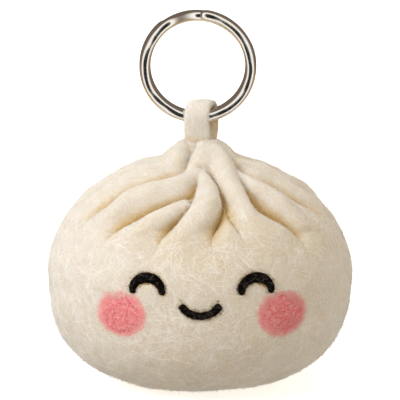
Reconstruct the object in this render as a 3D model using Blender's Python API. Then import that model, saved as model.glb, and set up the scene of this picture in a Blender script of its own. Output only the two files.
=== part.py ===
"""A needle-felted steamed-bun key ring charm: a pleated felt bun with a felt strap loop and a split ring.

Metres, +Z up. The bun stands on its base at z = 0, with its face towards -Y.
"""
import math
import random

import bmesh
import bpy
import numpy as np

MM = 0.001

# The bun: a squashed round body on a small flat spot
BODY_RADIUS = 32.4 * MM
WIDEST_HEIGHT = 24.9 * MM
DOME_HEIGHT = 25.7 * MM
DOME_ROUNDNESS = 1.85
BASE_FLAT_RADIUS = 8.0 * MM
BASE_ROUNDNESS = 2.7

# The gathered top knot: a soft peak, sunk in the middle where the strap comes out
KNOT_RISE = 4.5 * MM
KNOT_SPREAD = 6.0 * MM
KNOT_STEEPNESS = 2.75
KNOT_X = 0.4 * MM
KNOT_Y = -0.8 * MM
STRAP_DIMPLE = 2.4 * MM
STRAP_DIMPLE_WIDTH = 3.4 * MM
STRAP_DIMPLE_DEPTH = 4.0 * MM
# A fold lies over the front of the knot, and the neck beside it is drawn in
FOLD_BULGE = 1.1 * MM
FOLD_RADIUS = 7.6 * MM
FOLD_SPREAD = 2.6 * MM
FOLD_MIDDLE = 4.0
FOLD_HALF_ANGLE = 30.0
NECK_DIP = 1.1 * MM
NECK_RADIUS = 10.0 * MM
NECK_SPREAD = 2.2 * MM

# The pleats: creases run out from the knot, given by their azimuth at these plan radii
CREASE_STATIONS = (8 * MM, 13 * MM, 18 * MM, 23 * MM, 28 * MM)
FRONT_CREASES = {
    # name: (azimuths in degrees, depth, where it starts, where it ends)
    "left_side": ((-72, -80, -86, -90, -93), 2.6 * MM, 4 * MM, 29 * MM),
    "left_upper": ((-21, -32, -52.4, -60.9, -65.7), 3.6 * MM, 2 * MM, 30 * MM),
    "left_long": ((0, 0, -5, -29.2, -43.8), 4.4 * MM, 9.3 * MM, 31 * MM),
    "left_inner": ((3, 4, -1.5, -8.7, -18.3), 3.4 * MM, 16 * MM, 31.5 * MM),
    "middle": ((6, 12.5, 16.1, 12, 5.5), 4.4 * MM, 9.3 * MM, 31 * MM),
    "middle_fork": ((10, 16.5, 19.5, 15.6, 19.3), 3.2 * MM, 20 * MM, 30 * MM),
    "right_long": ((36, 34.5, 34.1, 37.8, 49.4), 3.9 * MM, 11 * MM, 31.7 * MM),
    "right_upper": ((46, 42.2, 58.8, 67.8, 76), 3.4 * MM, 5 * MM, 30 * MM),
    "right_side": ((66, 70, 82, 91, 99), 2.6 * MM, 4 * MM, 29 * MM),
}
BACK_CREASE_COUNT = 7
BACK_SEED = 11
BACK_DEPTH = 3.3 * MM
ROLL_HALF_WIDTH = 6.5 * MM
ROLL_BLEND = 5.0
KNOT_ROLL_HALF_WIDTH = 1.6 * MM
KNOT_CREASE_SHARE = 0.42
KNOT_EDGE = (8 * MM, 12 * MM)
RIDGE_START = (7 * MM, 12 * MM)
RIDGE_END = (20 * MM, 30 * MM)
RIDGE_BULGE = 0.6 * MM
RISE_LENGTH = 2.0 * MM
FADE_LENGTH = 7.0 * MM

# How finely the bun is divided
COLUMNS_IN_A_PLEAT = (0.0, 0.10, 0.28, 0.5, 0.72, 0.90)
DOME_ROWS = 26
BOWL_ROWS = 12

# The face, in the plane that faces the viewer
LEFT_EYE_X = -11.15 * MM
RIGHT_EYE_X = 12.1 * MM
EYE_FOOT_Z = 25.9 * MM
EYE_ARCH_HALF_WIDTH = 3.15 * MM
EYE_ARCH_HEIGHT = 2.85 * MM
EYE_TOP_STROKE = 1.15 * MM
EYE_FOOT_STROKE = 0.72 * MM
SMILE_X = 0.2 * MM
SMILE_LOW_Z = 20.8 * MM
SMILE_RADIUS = 4.75 * MM
SMILE_HALF_ANGLE = math.radians(52)
SMILE_STROKE = 0.8 * MM
FACE_PROUD = 0.55 * MM
LEFT_CHEEK_X = -16.5 * MM
RIGHT_CHEEK_X = 17.4 * MM
CHEEK_Z = 20.35 * MM
CHEEK_HALF_WIDTH = 4.7 * MM
CHEEK_HALF_HEIGHT = 4.5 * MM
CHEEK_PROUD = 0.35 * MM
CHEEK_DEPTH = 0.8 * MM
HOLLOW_REACH = 2.0 * MM

# The split key ring: two turns of flattened wire
RING_RADIUS = 12.5 * MM
WIRE_WIDTH = 2.4 * MM
WIRE_THICKNESS = 1.15 * MM
COIL_GAP = 0.10 * MM
CROSSING_START = math.radians(328)
CROSSING_END = math.radians(359)
RING_END_CLEARANCE = math.radians(3)
CROSSING_DIP = 0.45 * MM
DIP_STARTS = (math.radians(325), math.radians(365))
DIP_ENDS = (math.radians(385), math.radians(445))
WIRE_END_SHARES = (0.62, 0.81)
RING_STEPS_A_TURN = 44
RING_X = -0.35 * MM
RING_LEAN = math.radians(4)

# The strap loop that holds the ring
RING_AXIS_Z = 57.8 * MM
STRAP_WIDTH = 5.3 * MM
STRAP_THICKNESS = 1.7 * MM
LOOP_HOLE_HALF_HEIGHT = 1.95 * MM
LOOP_HOLE_HALF_DEPTH = 2.3 * MM
LEG_SPREAD_AT_FOOT = 2.0 * MM
LEG_FOOT_Z = 50.2 * MM
LOOP_SHEAR = 0.33
LOOP_X = 0.37 * MM

CLEARANCE = 0.3 * MM

# How square the swept sections are: 2 is an oval, more is boxier
STRAP_SECTION_POWER = 3.4
STRAP_SECTION_STEPS = 20
WIRE_SECTION_POWER = 2.6
WIRE_SECTION_STEPS = 14
ROUND_END_TURN = math.radians(81)

# Felts and metal: colour, roughness, metallic
CREAM_FELT = ((0.86, 0.78, 0.65), 0.95, 0.0)
BLACK_FELT = ((0.015, 0.012, 0.011), 0.95, 0.0)
PINK_FELT = ((0.80, 0.25, 0.24), 0.95, 0.0)
NICKEL_PLATE = ((0.80, 0.77, 0.72), 0.18, 1.0)


def clear_scene():
    for old in list(bpy.data.objects):
        bpy.data.objects.remove(old, do_unlink=True)


def make_material(name, finish):
    colour, roughness, metallic = finish
    material = bpy.data.materials.new(name)
    material.use_nodes = True
    shader = material.node_tree.nodes["Principled BSDF"]
    shader.inputs["Base Color"].default_value = (*colour, 1.0)
    shader.inputs["Roughness"].default_value = roughness
    shader.inputs["Metallic"].default_value = metallic
    return material


def add_object(name, mesh, collection, material=None):
    thing = bpy.data.objects.new(name, mesh)
    collection.objects.link(thing)
    if material:
        mesh.materials.append(material)
    return thing


def mark_as_guide(thing):
    thing.hide_render = True
    thing.display_type = "WIRE"


def mesh_from_bmesh(name, bm):
    mesh = bpy.data.meshes.new(name)
    bm.to_mesh(mesh)
    bm.free()
    mesh.shade_smooth()
    return mesh


def smoothstep(low, high, value):
    share = np.clip((value - low) / (high - low), 0.0, 1.0)
    return share * share * (3.0 - 2.0 * share)


# The bun's plain outline
def bowl_depth():
    """Half height of the full bowl curve, of which the flat spot cuts off the tip."""
    cut = (BASE_FLAT_RADIUS / BODY_RADIUS) ** BASE_ROUNDNESS
    return WIDEST_HEIGHT / (1.0 - cut) ** (1.0 / BASE_ROUNDNESS)


def bowl_radius(z):
    """Radius of the lower half at height z."""
    drop = (WIDEST_HEIGHT - z) / bowl_depth()
    return BODY_RADIUS * (1.0 - drop ** BASE_ROUNDNESS) ** (1.0 / BASE_ROUNDNESS)


def dome_radius(z):
    """Radius of the plain upper half at height z."""
    climb = (z - WIDEST_HEIGHT) / DOME_HEIGHT
    return BODY_RADIUS * (1.0 - climb ** DOME_ROUNDNESS) ** (1.0 / DOME_ROUNDNESS)


def body_radius(z):
    return dome_radius(z) if z > WIDEST_HEIGHT else bowl_radius(z)


def front_point(x, z, lift=0.0):
    """The point of the bun's front that stands at x and z, raised by lift along the surface normal."""
    step = 0.05 * MM
    radius = body_radius(z)
    y = -math.sqrt(radius * radius - x * x)
    slope = (body_radius(z + step) - body_radius(z - step)) / (2 * step)
    normal = np.array([x / radius, y / radius, -slope])
    normal /= np.linalg.norm(normal)
    return np.array([x, y, z]) + lift * normal


# The pleats
def crease_table():
    """Every crease in order of azimuth: azimuths at the stations, depth, start and end radius."""
    creases = [(list(azimuths), depth, start, end) for azimuths, depth, start, end in FRONT_CREASES.values()]
    draw = random.Random(BACK_SEED)
    first = creases[-1][0]
    last = [azimuth + 360.0 for azimuth in creases[0][0]]
    for number in range(1, BACK_CREASE_COUNT + 1):
        share = number / (BACK_CREASE_COUNT + 1)
        jitter = draw.uniform(-3.0, 3.0)
        twist = draw.uniform(-5.0, 5.0)
        azimuths = []
        for station, (low, high) in enumerate(zip(first, last)):
            out = station / (len(CREASE_STATIONS) - 1)
            azimuths.append(low + (high - low) * share + jitter + twist * out)
        depth = BACK_DEPTH * draw.uniform(0.8, 1.2)
        start = draw.uniform(4.0, 9.0) * MM
        end = draw.uniform(28.5, 31.5) * MM
        creases.append((azimuths, depth, start, end))
    return creases


def crease_azimuth(azimuths, radius):
    """Azimuth of a crease at a plan radius, on a smooth curve through its stations."""
    stations = CREASE_STATIONS
    if radius <= stations[0]:
        return azimuths[0]
    if radius >= stations[-1]:
        return azimuths[-1]
    span = stations[1] - stations[0]
    index = min(int((radius - stations[0]) / span), len(stations) - 2)
    t = (radius - stations[index]) / span
    before = azimuths[max(index - 1, 0)]
    low, high = azimuths[index], azimuths[index + 1]
    after = azimuths[min(index + 2, len(stations) - 1)]
    slope_low = 0.5 * (high - before)
    slope_high = 0.5 * (after - low)
    t2, t3 = t * t, t * t * t
    return ((2 * t3 - 3 * t2 + 1) * low + (t3 - 2 * t2 + t) * slope_low
            + (3 * t2 - 2 * t3) * high + (t3 - t2) * slope_high)


def crease_depth(crease, radius):
    _, depth, start, end = crease
    rise = smoothstep(start, start + RISE_LENGTH, radius)
    fade = 1.0 - smoothstep(end - FADE_LENGTH, end, radius)
    in_knot = KNOT_CREASE_SHARE + (1.0 - KNOT_CREASE_SHARE) * smoothstep(*KNOT_EDGE, radius)
    return depth * float(rise * fade * in_knot)


def roll_section(share):
    """How far a roll drops towards its crease: 1 in the crease, 0 on the crest."""
    rest = 1.0 - min(share, 1.0)
    return 0.65 * (1.0 - math.sqrt(1.0 - rest * rest)) + 0.35 * rest * rest


def crease_sink(radius, degrees, creases):
    """Depth of the pleats' surface at a plan radius and azimuth, as the soft maximum of all creases."""
    half_width = min(ROLL_HALF_WIDTH, KNOT_ROLL_HALF_WIDTH + 0.4 * radius)
    total = 0.0
    for crease in creases:
        depth = crease_depth(crease, radius)
        if depth > 0.0:
            turn = (degrees - crease_azimuth(crease[0], radius) + 180.0) % 360.0 - 180.0
            distance = abs(math.radians(turn)) * radius
            total += (depth * roll_section(distance / half_width)) ** ROLL_BLEND
    return total ** (1.0 / ROLL_BLEND)


def knot_form(radius, degrees):
    """The fold over the front of the knot stands out, and the neck beside it and behind is drawn in."""
    aside = ((degrees - FOLD_MIDDLE) / FOLD_HALF_ANGLE) ** 4 if degrees < 180.0 else 1e3
    front = math.exp(-min(aside, 50.0))
    fold = FOLD_BULGE * math.exp(-(((radius - FOLD_RADIUS) / FOLD_SPREAD) ** 2))
    neck = NECK_DIP * math.exp(-(((radius - NECK_RADIUS) / NECK_SPREAD) ** 2))
    facing = math.cos(math.radians(degrees)) ** 2
    return fold * front - neck * facing * (1.0 - front)


def pleat_point(radius, height, slope, pleat, share, creases):
    """A point of the dome: pleat number and share across it, sunk along the normal by the creases."""
    left_azimuth = crease_azimuth(creases[pleat][0], radius)
    right_azimuth = crease_azimuth(creases[(pleat + 1) % len(creases)][0], radius)
    if pleat == len(creases) - 1:
        right_azimuth += 360.0
    degrees = left_azimuth + (right_azimuth - left_azimuth) * share
    azimuth = math.radians(degrees)
    pleated = float(smoothstep(*RIDGE_START, radius) * (1.0 - smoothstep(*RIDGE_END, radius)))
    sink = crease_sink(radius, degrees, creases) - RIDGE_BULGE * pleated - knot_form(radius, degrees)
    towards_knot = max(0.0, 1.0 - radius / BODY_RADIUS) ** 2
    out = radius - sink * math.cos(slope)
    x = KNOT_X * towards_knot + out * math.sin(azimuth)
    y = KNOT_Y * towards_knot - out * math.cos(azimuth)
    dimple = ((x - LOOP_X) / STRAP_DIMPLE_WIDTH) ** 2 + (y / STRAP_DIMPLE_DEPTH) ** 2
    return x, y, height - sink * math.sin(slope) - STRAP_DIMPLE * math.exp(-dimple)


def dome_outline(angle):
    """Plan radius and height of the dome with its knot, angle 0 at the top."""
    radius = BODY_RADIUS * math.sin(angle) ** (2.0 / DOME_ROUNDNESS)
    rise = KNOT_RISE * math.exp(-((radius / KNOT_SPREAD) ** KNOT_STEEPNESS))
    return radius, WIDEST_HEIGHT + DOME_HEIGHT * math.cos(angle) ** (2.0 / DOME_ROUNDNESS) + rise


def dome_profile(row):
    """Plan radius, height and steepness of the surface normal of one row of the dome, knot first."""
    if row == 0:
        return (*dome_outline(0.0), 0.5 * math.pi)
    if row == DOME_ROWS:
        return BODY_RADIUS, WIDEST_HEIGHT, 0.0
    angle = 0.5 * math.pi * row / DOME_ROWS
    step = 0.01
    inner_radius, inner_height = dome_outline(angle - step)
    outer_radius, outer_height = dome_outline(angle + step)
    slope = math.atan2(outer_radius - inner_radius, inner_height - outer_height)
    return (*dome_outline(angle), slope)


def bowl_profile(row):
    """Radius and height of one row below the widest one; the last row is the middle of the base."""
    if row == BOWL_ROWS:
        return 0.0, 0.0
    full_turn = math.asin((WIDEST_HEIGHT / bowl_depth()) ** (0.5 * BASE_ROUNDNESS))
    angle = full_turn * row / (BOWL_ROWS - 1)
    if row == BOWL_ROWS - 1:
        return BASE_FLAT_RADIUS, 0.0
    radius = BODY_RADIUS * math.cos(angle) ** (2.0 / BASE_ROUNDNESS)
    return radius, WIDEST_HEIGHT - bowl_depth() * math.sin(angle) ** (2.0 / BASE_ROUNDNESS)


def bun_mesh():
    """A UV sphere whose columns follow the creases and whose rows follow the bun's outline."""
    creases = crease_table()
    in_pleat = len(COLUMNS_IN_A_PLEAT)
    columns = in_pleat * len(creases)
    rows = DOME_ROWS + BOWL_ROWS
    bm = bmesh.new()
    bmesh.ops.create_uvsphere(bm, u_segments=columns, v_segments=rows, radius=1.0)
    for vertex in bm.verts:
        polar = math.acos(max(-1.0, min(1.0, vertex.co.z)))
        row = round(polar / math.pi * rows)
        turn = math.atan2(vertex.co.y, vertex.co.x) % (2 * math.pi)
        column = round(turn / (2 * math.pi) * columns) % columns
        pleat, place = divmod(column, in_pleat)
        share = COLUMNS_IN_A_PLEAT[place]
        if row <= DOME_ROWS:
            radius, height, slope = dome_profile(row)
            vertex.co = pleat_point(radius, height, slope, pleat, share, creases)
        else:
            radius, height = bowl_profile(row - DOME_ROWS)
            x, y, _ = pleat_point(BODY_RADIUS, height, 0.0, pleat, share, creases)
            vertex.co = (x * radius / BODY_RADIUS, y * radius / BODY_RADIUS, height)
    bmesh.ops.triangulate(bm, faces=bm.faces)
    return mesh_from_bmesh("bun_body", bm)


# Tubes and straps swept along a path
def curve_tube(name, points, radii, sides_resolution, collection):
    """A round tube through the points, with its own radius at each of them."""
    curve = bpy.data.curves.new(name, "CURVE")
    curve.dimensions = "3D"
    curve.bevel_depth = 1.0
    curve.bevel_resolution = sides_resolution
    curve.use_fill_caps = True
    spline = curve.splines.new("POLY")
    spline.points.add(len(points) - 1)
    for place, point, radius in zip(spline.points, points, radii):
        place.co = (*point, 1.0)
        place.radius = radius
    thing = bpy.data.objects.new(name, curve)
    collection.objects.link(thing)
    return thing


def section_guide(name, width, thickness, power, steps, collection):
    """A closed outline, width across and thickness deep, between an oval and a box."""
    curve = bpy.data.curves.new(name, "CURVE")
    curve.dimensions = "2D"
    curve.fill_mode = "NONE"
    spline = curve.splines.new("POLY")
    spline.points.add(steps - 1)
    spline.use_cyclic_u = True
    for number, place in enumerate(spline.points):
        angle = 2 * math.pi * number / steps
        across = math.copysign(abs(math.cos(angle)) ** (2 / power), math.cos(angle))
        deep = math.copysign(abs(math.sin(angle)) ** (2 / power), math.sin(angle))
        place.co = (0.5 * width * across, 0.5 * thickness * deep, 0.0, 1.0)
    guide = bpy.data.objects.new(name, curve)
    collection.objects.link(guide)
    mark_as_guide(guide)
    return guide


def swept_section(name, points, radii, guide, collection):
    """The guide's outline swept along the points, kept upright along local Z."""
    curve = bpy.data.curves.new(name, "CURVE")
    curve.dimensions = "3D"
    curve.twist_mode = "Z_UP"
    curve.bevel_mode = "OBJECT"
    curve.bevel_object = guide
    curve.use_fill_caps = True
    spline = curve.splines.new("POLY")
    spline.points.add(len(points) - 1)
    for place, point, radius in zip(spline.points, points, radii):
        place.co = (*point, 1.0)
        place.radius = radius
    thing = bpy.data.objects.new(name, curve)
    collection.objects.link(thing)
    return thing


def curve_to_mesh(thing, name, turn=None):
    """The curve's finished surface as one closed mesh; the curve object is removed."""
    graph = bpy.context.evaluated_depsgraph_get()
    mesh = bpy.data.meshes.new_from_object(thing.evaluated_get(graph))
    mesh.name = name
    bm = bmesh.new()
    bm.from_mesh(mesh)
    bmesh.ops.remove_doubles(bm, verts=bm.verts, dist=0.001 * MM)
    if turn:
        for vertex in bm.verts:
            vertex.co = turn(vertex.co)
    bmesh.ops.recalc_face_normals(bm, faces=bm.faces)
    bm.to_mesh(mesh)
    bm.free()
    mesh.shade_smooth()
    bpy.data.objects.remove(thing, do_unlink=True)
    return mesh


# The face
def round_ended(path, radius_at, steps, end_steps):
    """Points and radii along path(0..1), with the two ends rounded off."""
    shares = [number / steps for number in range(steps + 1)]
    points = [path(share) for share in shares]
    radii = [radius_at(share) for share in shares]
    start_way = points[0] - points[1]
    start_way /= np.linalg.norm(start_way)
    end_way = points[-1] - points[-2]
    end_way /= np.linalg.norm(end_way)
    for number in range(1, end_steps + 1):
        turn = ROUND_END_TURN * number / end_steps
        reach = [radius * math.sin(turn) for radius in (radius_at(0.0), radius_at(1.0))]
        points.insert(0, path(0.0) + start_way * reach[0])
        radii.insert(0, radius_at(0.0) * math.cos(turn))
        points.append(path(1.0) + end_way * reach[1])
        radii.append(radius_at(1.0) * math.cos(turn))
    return points, radii


def eye_stroke(share):
    return EYE_FOOT_STROKE + (EYE_TOP_STROKE - EYE_FOOT_STROKE) * math.sin(math.pi * share)


def eye_path(eye_x):
    def path(share):
        angle = math.pi * (1.0 - share)
        x = eye_x + EYE_ARCH_HALF_WIDTH * math.cos(angle)
        z = EYE_FOOT_Z + EYE_ARCH_HEIGHT * math.sin(angle)
        return front_point(x, z, FACE_PROUD - eye_stroke(share))
    return path


def smile_path(share):
    angle = SMILE_HALF_ANGLE * (2.0 * share - 1.0)
    x = SMILE_X + SMILE_RADIUS * math.sin(angle)
    z = SMILE_LOW_Z + SMILE_RADIUS * (1.0 - math.cos(angle))
    return front_point(x, z, FACE_PROUD - SMILE_STROKE)


def felted_line(name, path, radius_at, grow, collection):
    """A line of felt let into the bun; grow widens it for the groove that it lies in."""
    points, radii = round_ended(path, radius_at, 12, 3)
    radii = [radius + grow for radius in radii]
    tube = curve_tube(name, points, radii, 2, collection)
    return curve_to_mesh(tube, name)


def cheek_mesh(name, cheek_x, grow, proud):
    """A shallow lens of felt that follows the bun's front."""
    bm = bmesh.new()
    bmesh.ops.create_uvsphere(bm, u_segments=20, v_segments=8, radius=1.0)
    for vertex in bm.verts:
        across, up, out = vertex.co.x, vertex.co.y, vertex.co.z
        x = cheek_x + (CHEEK_HALF_WIDTH + grow) * across
        z = CHEEK_Z + (CHEEK_HALF_HEIGHT + grow) * up
        lift = proud * out if out > 0 else (CHEEK_DEPTH + grow) * out
        vertex.co = front_point(x, z, lift)
    return mesh_from_bmesh(name, bm)


# The ring
def ring_points():
    """Centre line of the wire in the ring's own plane: X right, Y up, Z towards the back coil."""
    wire_radius = RING_RADIUS - 0.5 * WIRE_WIDTH
    half_pitch = 0.5 * (WIRE_THICKNESS + COIL_GAP)
    last = 2 * math.pi + CROSSING_START - RING_END_CLEARANCE
    first = RING_END_CLEARANCE
    steps = round((last - first) / (2 * math.pi) * RING_STEPS_A_TURN)
    points, radii = [], []
    for number in range(steps + 1):
        angle = first + (last - first) * number / steps
        across = float(smoothstep(CROSSING_START, CROSSING_END, angle))
        depth = half_pitch * (2.0 * across - 1.0)
        dip_in = float(smoothstep(*DIP_STARTS, angle))
        dip_out = 1.0 - float(smoothstep(*DIP_ENDS, angle))
        radius = wire_radius - CROSSING_DIP * dip_in * dip_out
        points.append((radius * math.sin(angle), radius * math.cos(angle), depth))
        from_end = min(number, steps - number)
        radii.append(WIRE_END_SHARES[from_end] if from_end < len(WIRE_END_SHARES) else 1.0)
    return points, radii


def place_ring(co):
    """Stands the ring up, its wire on the ring's axis in the loop, leaning a little to the front."""
    wire_radius = RING_RADIUS - 0.5 * WIRE_WIDTH
    up = co.y + wire_radius
    y = co.z * math.cos(RING_LEAN) - up * math.sin(RING_LEAN)
    z = co.z * math.sin(RING_LEAN) + up * math.cos(RING_LEAN)
    return (co.x, y, z)


# The strap loop
def loop_points(extra_reach):
    """The strap's middle line in its own plane: X towards the back, Y up from the ring's axis."""
    deep = LOOP_HOLE_HALF_DEPTH + 0.5 * STRAP_THICKNESS
    tall = LOOP_HOLE_HALF_HEIGHT + 0.5 * STRAP_THICKNESS
    foot = LEG_FOOT_Z - RING_AXIS_Z - extra_reach
    leg_steps, arch_steps = 4, 12
    points = []
    for number in range(leg_steps):
        share = number / leg_steps
        spread = LEG_SPREAD_AT_FOOT + (deep - LEG_SPREAD_AT_FOOT) * float(smoothstep(0, 1, share))
        points.append((-spread, foot * (1.0 - share)))
    for number in range(arch_steps + 1):
        angle = math.pi * (1.0 - number / arch_steps)
        points.append((deep * math.cos(angle), tall * math.sin(angle)))
    for number in range(leg_steps - 1, -1, -1):
        x, y = points[number]
        points.append((-x, y))
    return [(x, y, 0.0) for x, y in points]


def place_strap(co):
    """Turns the strap's plane to face along X and leans it so that the back leg stands to the right."""
    return (LOOP_X + co.z + LOOP_SHEAR * co.x, co.x, RING_AXIS_Z + co.y)


def strap_mesh(name, grow, guides, collection):
    thickness = STRAP_THICKNESS + 2 * grow
    width = STRAP_WIDTH + 2 * grow
    guide = section_guide(name + "_section", thickness, width, STRAP_SECTION_POWER, STRAP_SECTION_STEPS, guides)
    points = loop_points(grow)
    curve = swept_section(name, points, [1.0] * len(points), guide, collection)
    return curve_to_mesh(curve, name, place_strap)


def main():
    clear_scene()
    scene = bpy.context.scene
    parts = bpy.data.collections.new("felt_bun_charm")
    cutters = bpy.data.collections.new("cutters")
    guides = bpy.data.collections.new("guides")
    for collection in (parts, cutters, guides):
        scene.collection.children.link(collection)

    cream = make_material("cream_wool_felt", CREAM_FELT)
    strap_cream = make_material("cream_wool_felt_strap", CREAM_FELT)
    nickel = make_material("nickel_plated_steel", NICKEL_PLATE)

    body = add_object("bun_body", bun_mesh(), parts, cream)
    strap = add_object("hanging_loop", strap_mesh("hanging_loop", 0.0, guides, parts), parts, strap_cream)
    sockets = add_object("loop_sockets", strap_mesh("loop_sockets", CLEARANCE, guides, cutters), cutters)
    mark_as_guide(sockets)

    lines = [
        ("left_eye", eye_path(LEFT_EYE_X), eye_stroke),
        ("right_eye", eye_path(RIGHT_EYE_X), eye_stroke),
        ("smile", smile_path, lambda share: SMILE_STROKE),
    ]
    for name, path, radius_at in lines:
        black = make_material("black_wool_felt_" + name, BLACK_FELT)
        add_object(name, felted_line(name, path, radius_at, 0.0, parts), parts, black)
        groove = felted_line(name + "_groove", path, radius_at, CLEARANCE, cutters)
        mark_as_guide(add_object(name + "_groove", groove, cutters))
    for name, cheek_x in (("left_cheek", LEFT_CHEEK_X), ("right_cheek", RIGHT_CHEEK_X)):
        pink = make_material("pink_wool_felt_" + name, PINK_FELT)
        add_object(name, cheek_mesh(name, cheek_x, 0.0, CHEEK_PROUD), parts, pink)
        hollow = cheek_mesh(name + "_hollow", cheek_x, CLEARANCE, HOLLOW_REACH)
        mark_as_guide(add_object(name + "_hollow", hollow, cutters))

    cut = body.modifiers.new("seats", "BOOLEAN")
    cut.operation = "DIFFERENCE"
    cut.operand_type = "COLLECTION"
    cut.collection = cutters
    cut.solver = "EXACT"

    guide = section_guide("wire_section", WIRE_WIDTH, WIRE_THICKNESS, WIRE_SECTION_POWER,
                          WIRE_SECTION_STEPS, guides)
    points, radii = ring_points()
    wire = swept_section("key_ring", points, radii, guide, parts)
    ring = add_object("key_ring", curve_to_mesh(wire, "key_ring", place_ring), parts, nickel)
    ring.location = (RING_X, 0.0, RING_AXIS_Z)


main()
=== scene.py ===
"""Looks of a needle-felted steamed-bun key ring charm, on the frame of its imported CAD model.

Laid out as a Blender add-on and run as a script. Metres, +Z up, the face towards -Y.
"""
import math
import random

import bmesh
import bpy
import numpy as np
from bpy.props import FloatProperty, FloatVectorProperty, IntProperty, PointerProperty
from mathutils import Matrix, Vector
from mathutils.bvhtree import BVHTree


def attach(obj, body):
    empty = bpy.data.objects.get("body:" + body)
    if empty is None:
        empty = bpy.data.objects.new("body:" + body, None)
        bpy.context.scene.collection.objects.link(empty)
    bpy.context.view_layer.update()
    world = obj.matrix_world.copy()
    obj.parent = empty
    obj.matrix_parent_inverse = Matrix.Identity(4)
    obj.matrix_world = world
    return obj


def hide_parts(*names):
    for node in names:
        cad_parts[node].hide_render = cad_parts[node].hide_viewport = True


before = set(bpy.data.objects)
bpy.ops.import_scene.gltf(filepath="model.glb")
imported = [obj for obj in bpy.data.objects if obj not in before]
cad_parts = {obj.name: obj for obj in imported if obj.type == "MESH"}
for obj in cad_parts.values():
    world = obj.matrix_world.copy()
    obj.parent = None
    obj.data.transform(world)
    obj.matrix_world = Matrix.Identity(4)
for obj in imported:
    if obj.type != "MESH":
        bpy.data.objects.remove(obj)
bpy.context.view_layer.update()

bl_info = {
    "name": "Felt bun key ring charm",
    "version": (1, 0, 0),
    "blender": (4, 5, 0),
    "location": "3D View > Sidebar > Felt Bun",
    "description": "Builds the felt, the fibres and the split ring of the charm",
    "category": "Add Mesh",
}

MM = 0.001

# The bun's outline, as in the CAD
BODY_RADIUS = 32.4 * MM
WIDEST_HEIGHT = 24.9 * MM
DOME_HEIGHT = 25.7 * MM
DOME_ROUNDNESS = 1.85
BASE_FLAT_RADIUS = 8.0 * MM
BASE_ROUNDNESS = 2.7

# The gathered knot on top
KNOT_RISE = 4.5 * MM
KNOT_SPREAD = 6.0 * MM
KNOT_STEEPNESS = 2.75
KNOT_X = 0.4 * MM
KNOT_Y = -0.8 * MM
STRAP_DIMPLE = 2.4 * MM
STRAP_DIMPLE_WIDTH = 3.4 * MM
STRAP_DIMPLE_DEPTH = 4.0 * MM
FOLD_BULGE = 1.1 * MM
FOLD_RADIUS = 7.6 * MM
FOLD_SPREAD = 2.6 * MM
FOLD_MIDDLE = 4.0
FOLD_HALF_ANGLE = 30.0
NECK_DIP = 1.1 * MM
NECK_RADIUS = 10.0 * MM
NECK_SPREAD = 2.2 * MM

# The pleats: each crease by its azimuth in degrees at five plan radii, its depth, start and end
CREASE_STATIONS = (8 * MM, 13 * MM, 18 * MM, 23 * MM, 28 * MM)
FRONT_CREASES = {
    "left_side": ((-72, -80, -86, -90, -93), 2.6 * MM, 4 * MM, 29 * MM),
    "left_upper": ((-21, -32, -52.4, -60.9, -65.7), 3.6 * MM, 2 * MM, 30 * MM),
    "left_long": ((0, 0, -5, -29.2, -43.8), 4.4 * MM, 9.3 * MM, 31 * MM),
    "left_inner": ((3, 4, -1.5, -8.7, -18.3), 3.4 * MM, 16 * MM, 31.5 * MM),
    "middle": ((6, 12.5, 16.1, 12, 5.5), 4.4 * MM, 9.3 * MM, 31 * MM),
    "middle_fork": ((10, 16.5, 19.5, 15.6, 19.3), 3.2 * MM, 20 * MM, 30 * MM),
    "right_long": ((36, 34.5, 34.1, 37.8, 49.4), 3.9 * MM, 11 * MM, 31.7 * MM),
    "right_upper": ((46, 42.2, 58.8, 67.8, 76), 3.4 * MM, 5 * MM, 30 * MM),
    "right_side": ((66, 70, 82, 91, 99), 2.6 * MM, 4 * MM, 29 * MM),
}
BACK_CREASE_COUNT = 7
BACK_SEED = 11
BACK_DEPTH = 3.3 * MM
ROLL_HALF_WIDTH = 6.5 * MM
ROLL_BLEND = 5.0
ROLL_SPREAD = 0.4
KNOT_ROLL_HALF_WIDTH = 1.6 * MM
KNOT_CREASE_SHARE = 0.42
KNOT_EDGE = (8 * MM, 12 * MM)
RIDGE_START = (7 * MM, 12 * MM)
RIDGE_END = (20 * MM, 30 * MM)
RIDGE_BULGE = 0.6 * MM
RISE_LENGTH = 2.0 * MM
FADE_LENGTH = 7.0 * MM

# How finely the felt is divided: columns in each pleat, rows of the dome, the bowl and the flat base
COLUMNS_IN_A_PLEAT = 24
COLUMN_GATHER = 0.08
DOME_ROWS = 165
BOWL_ROWS = 70
BASE_ROWS = 10

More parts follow.
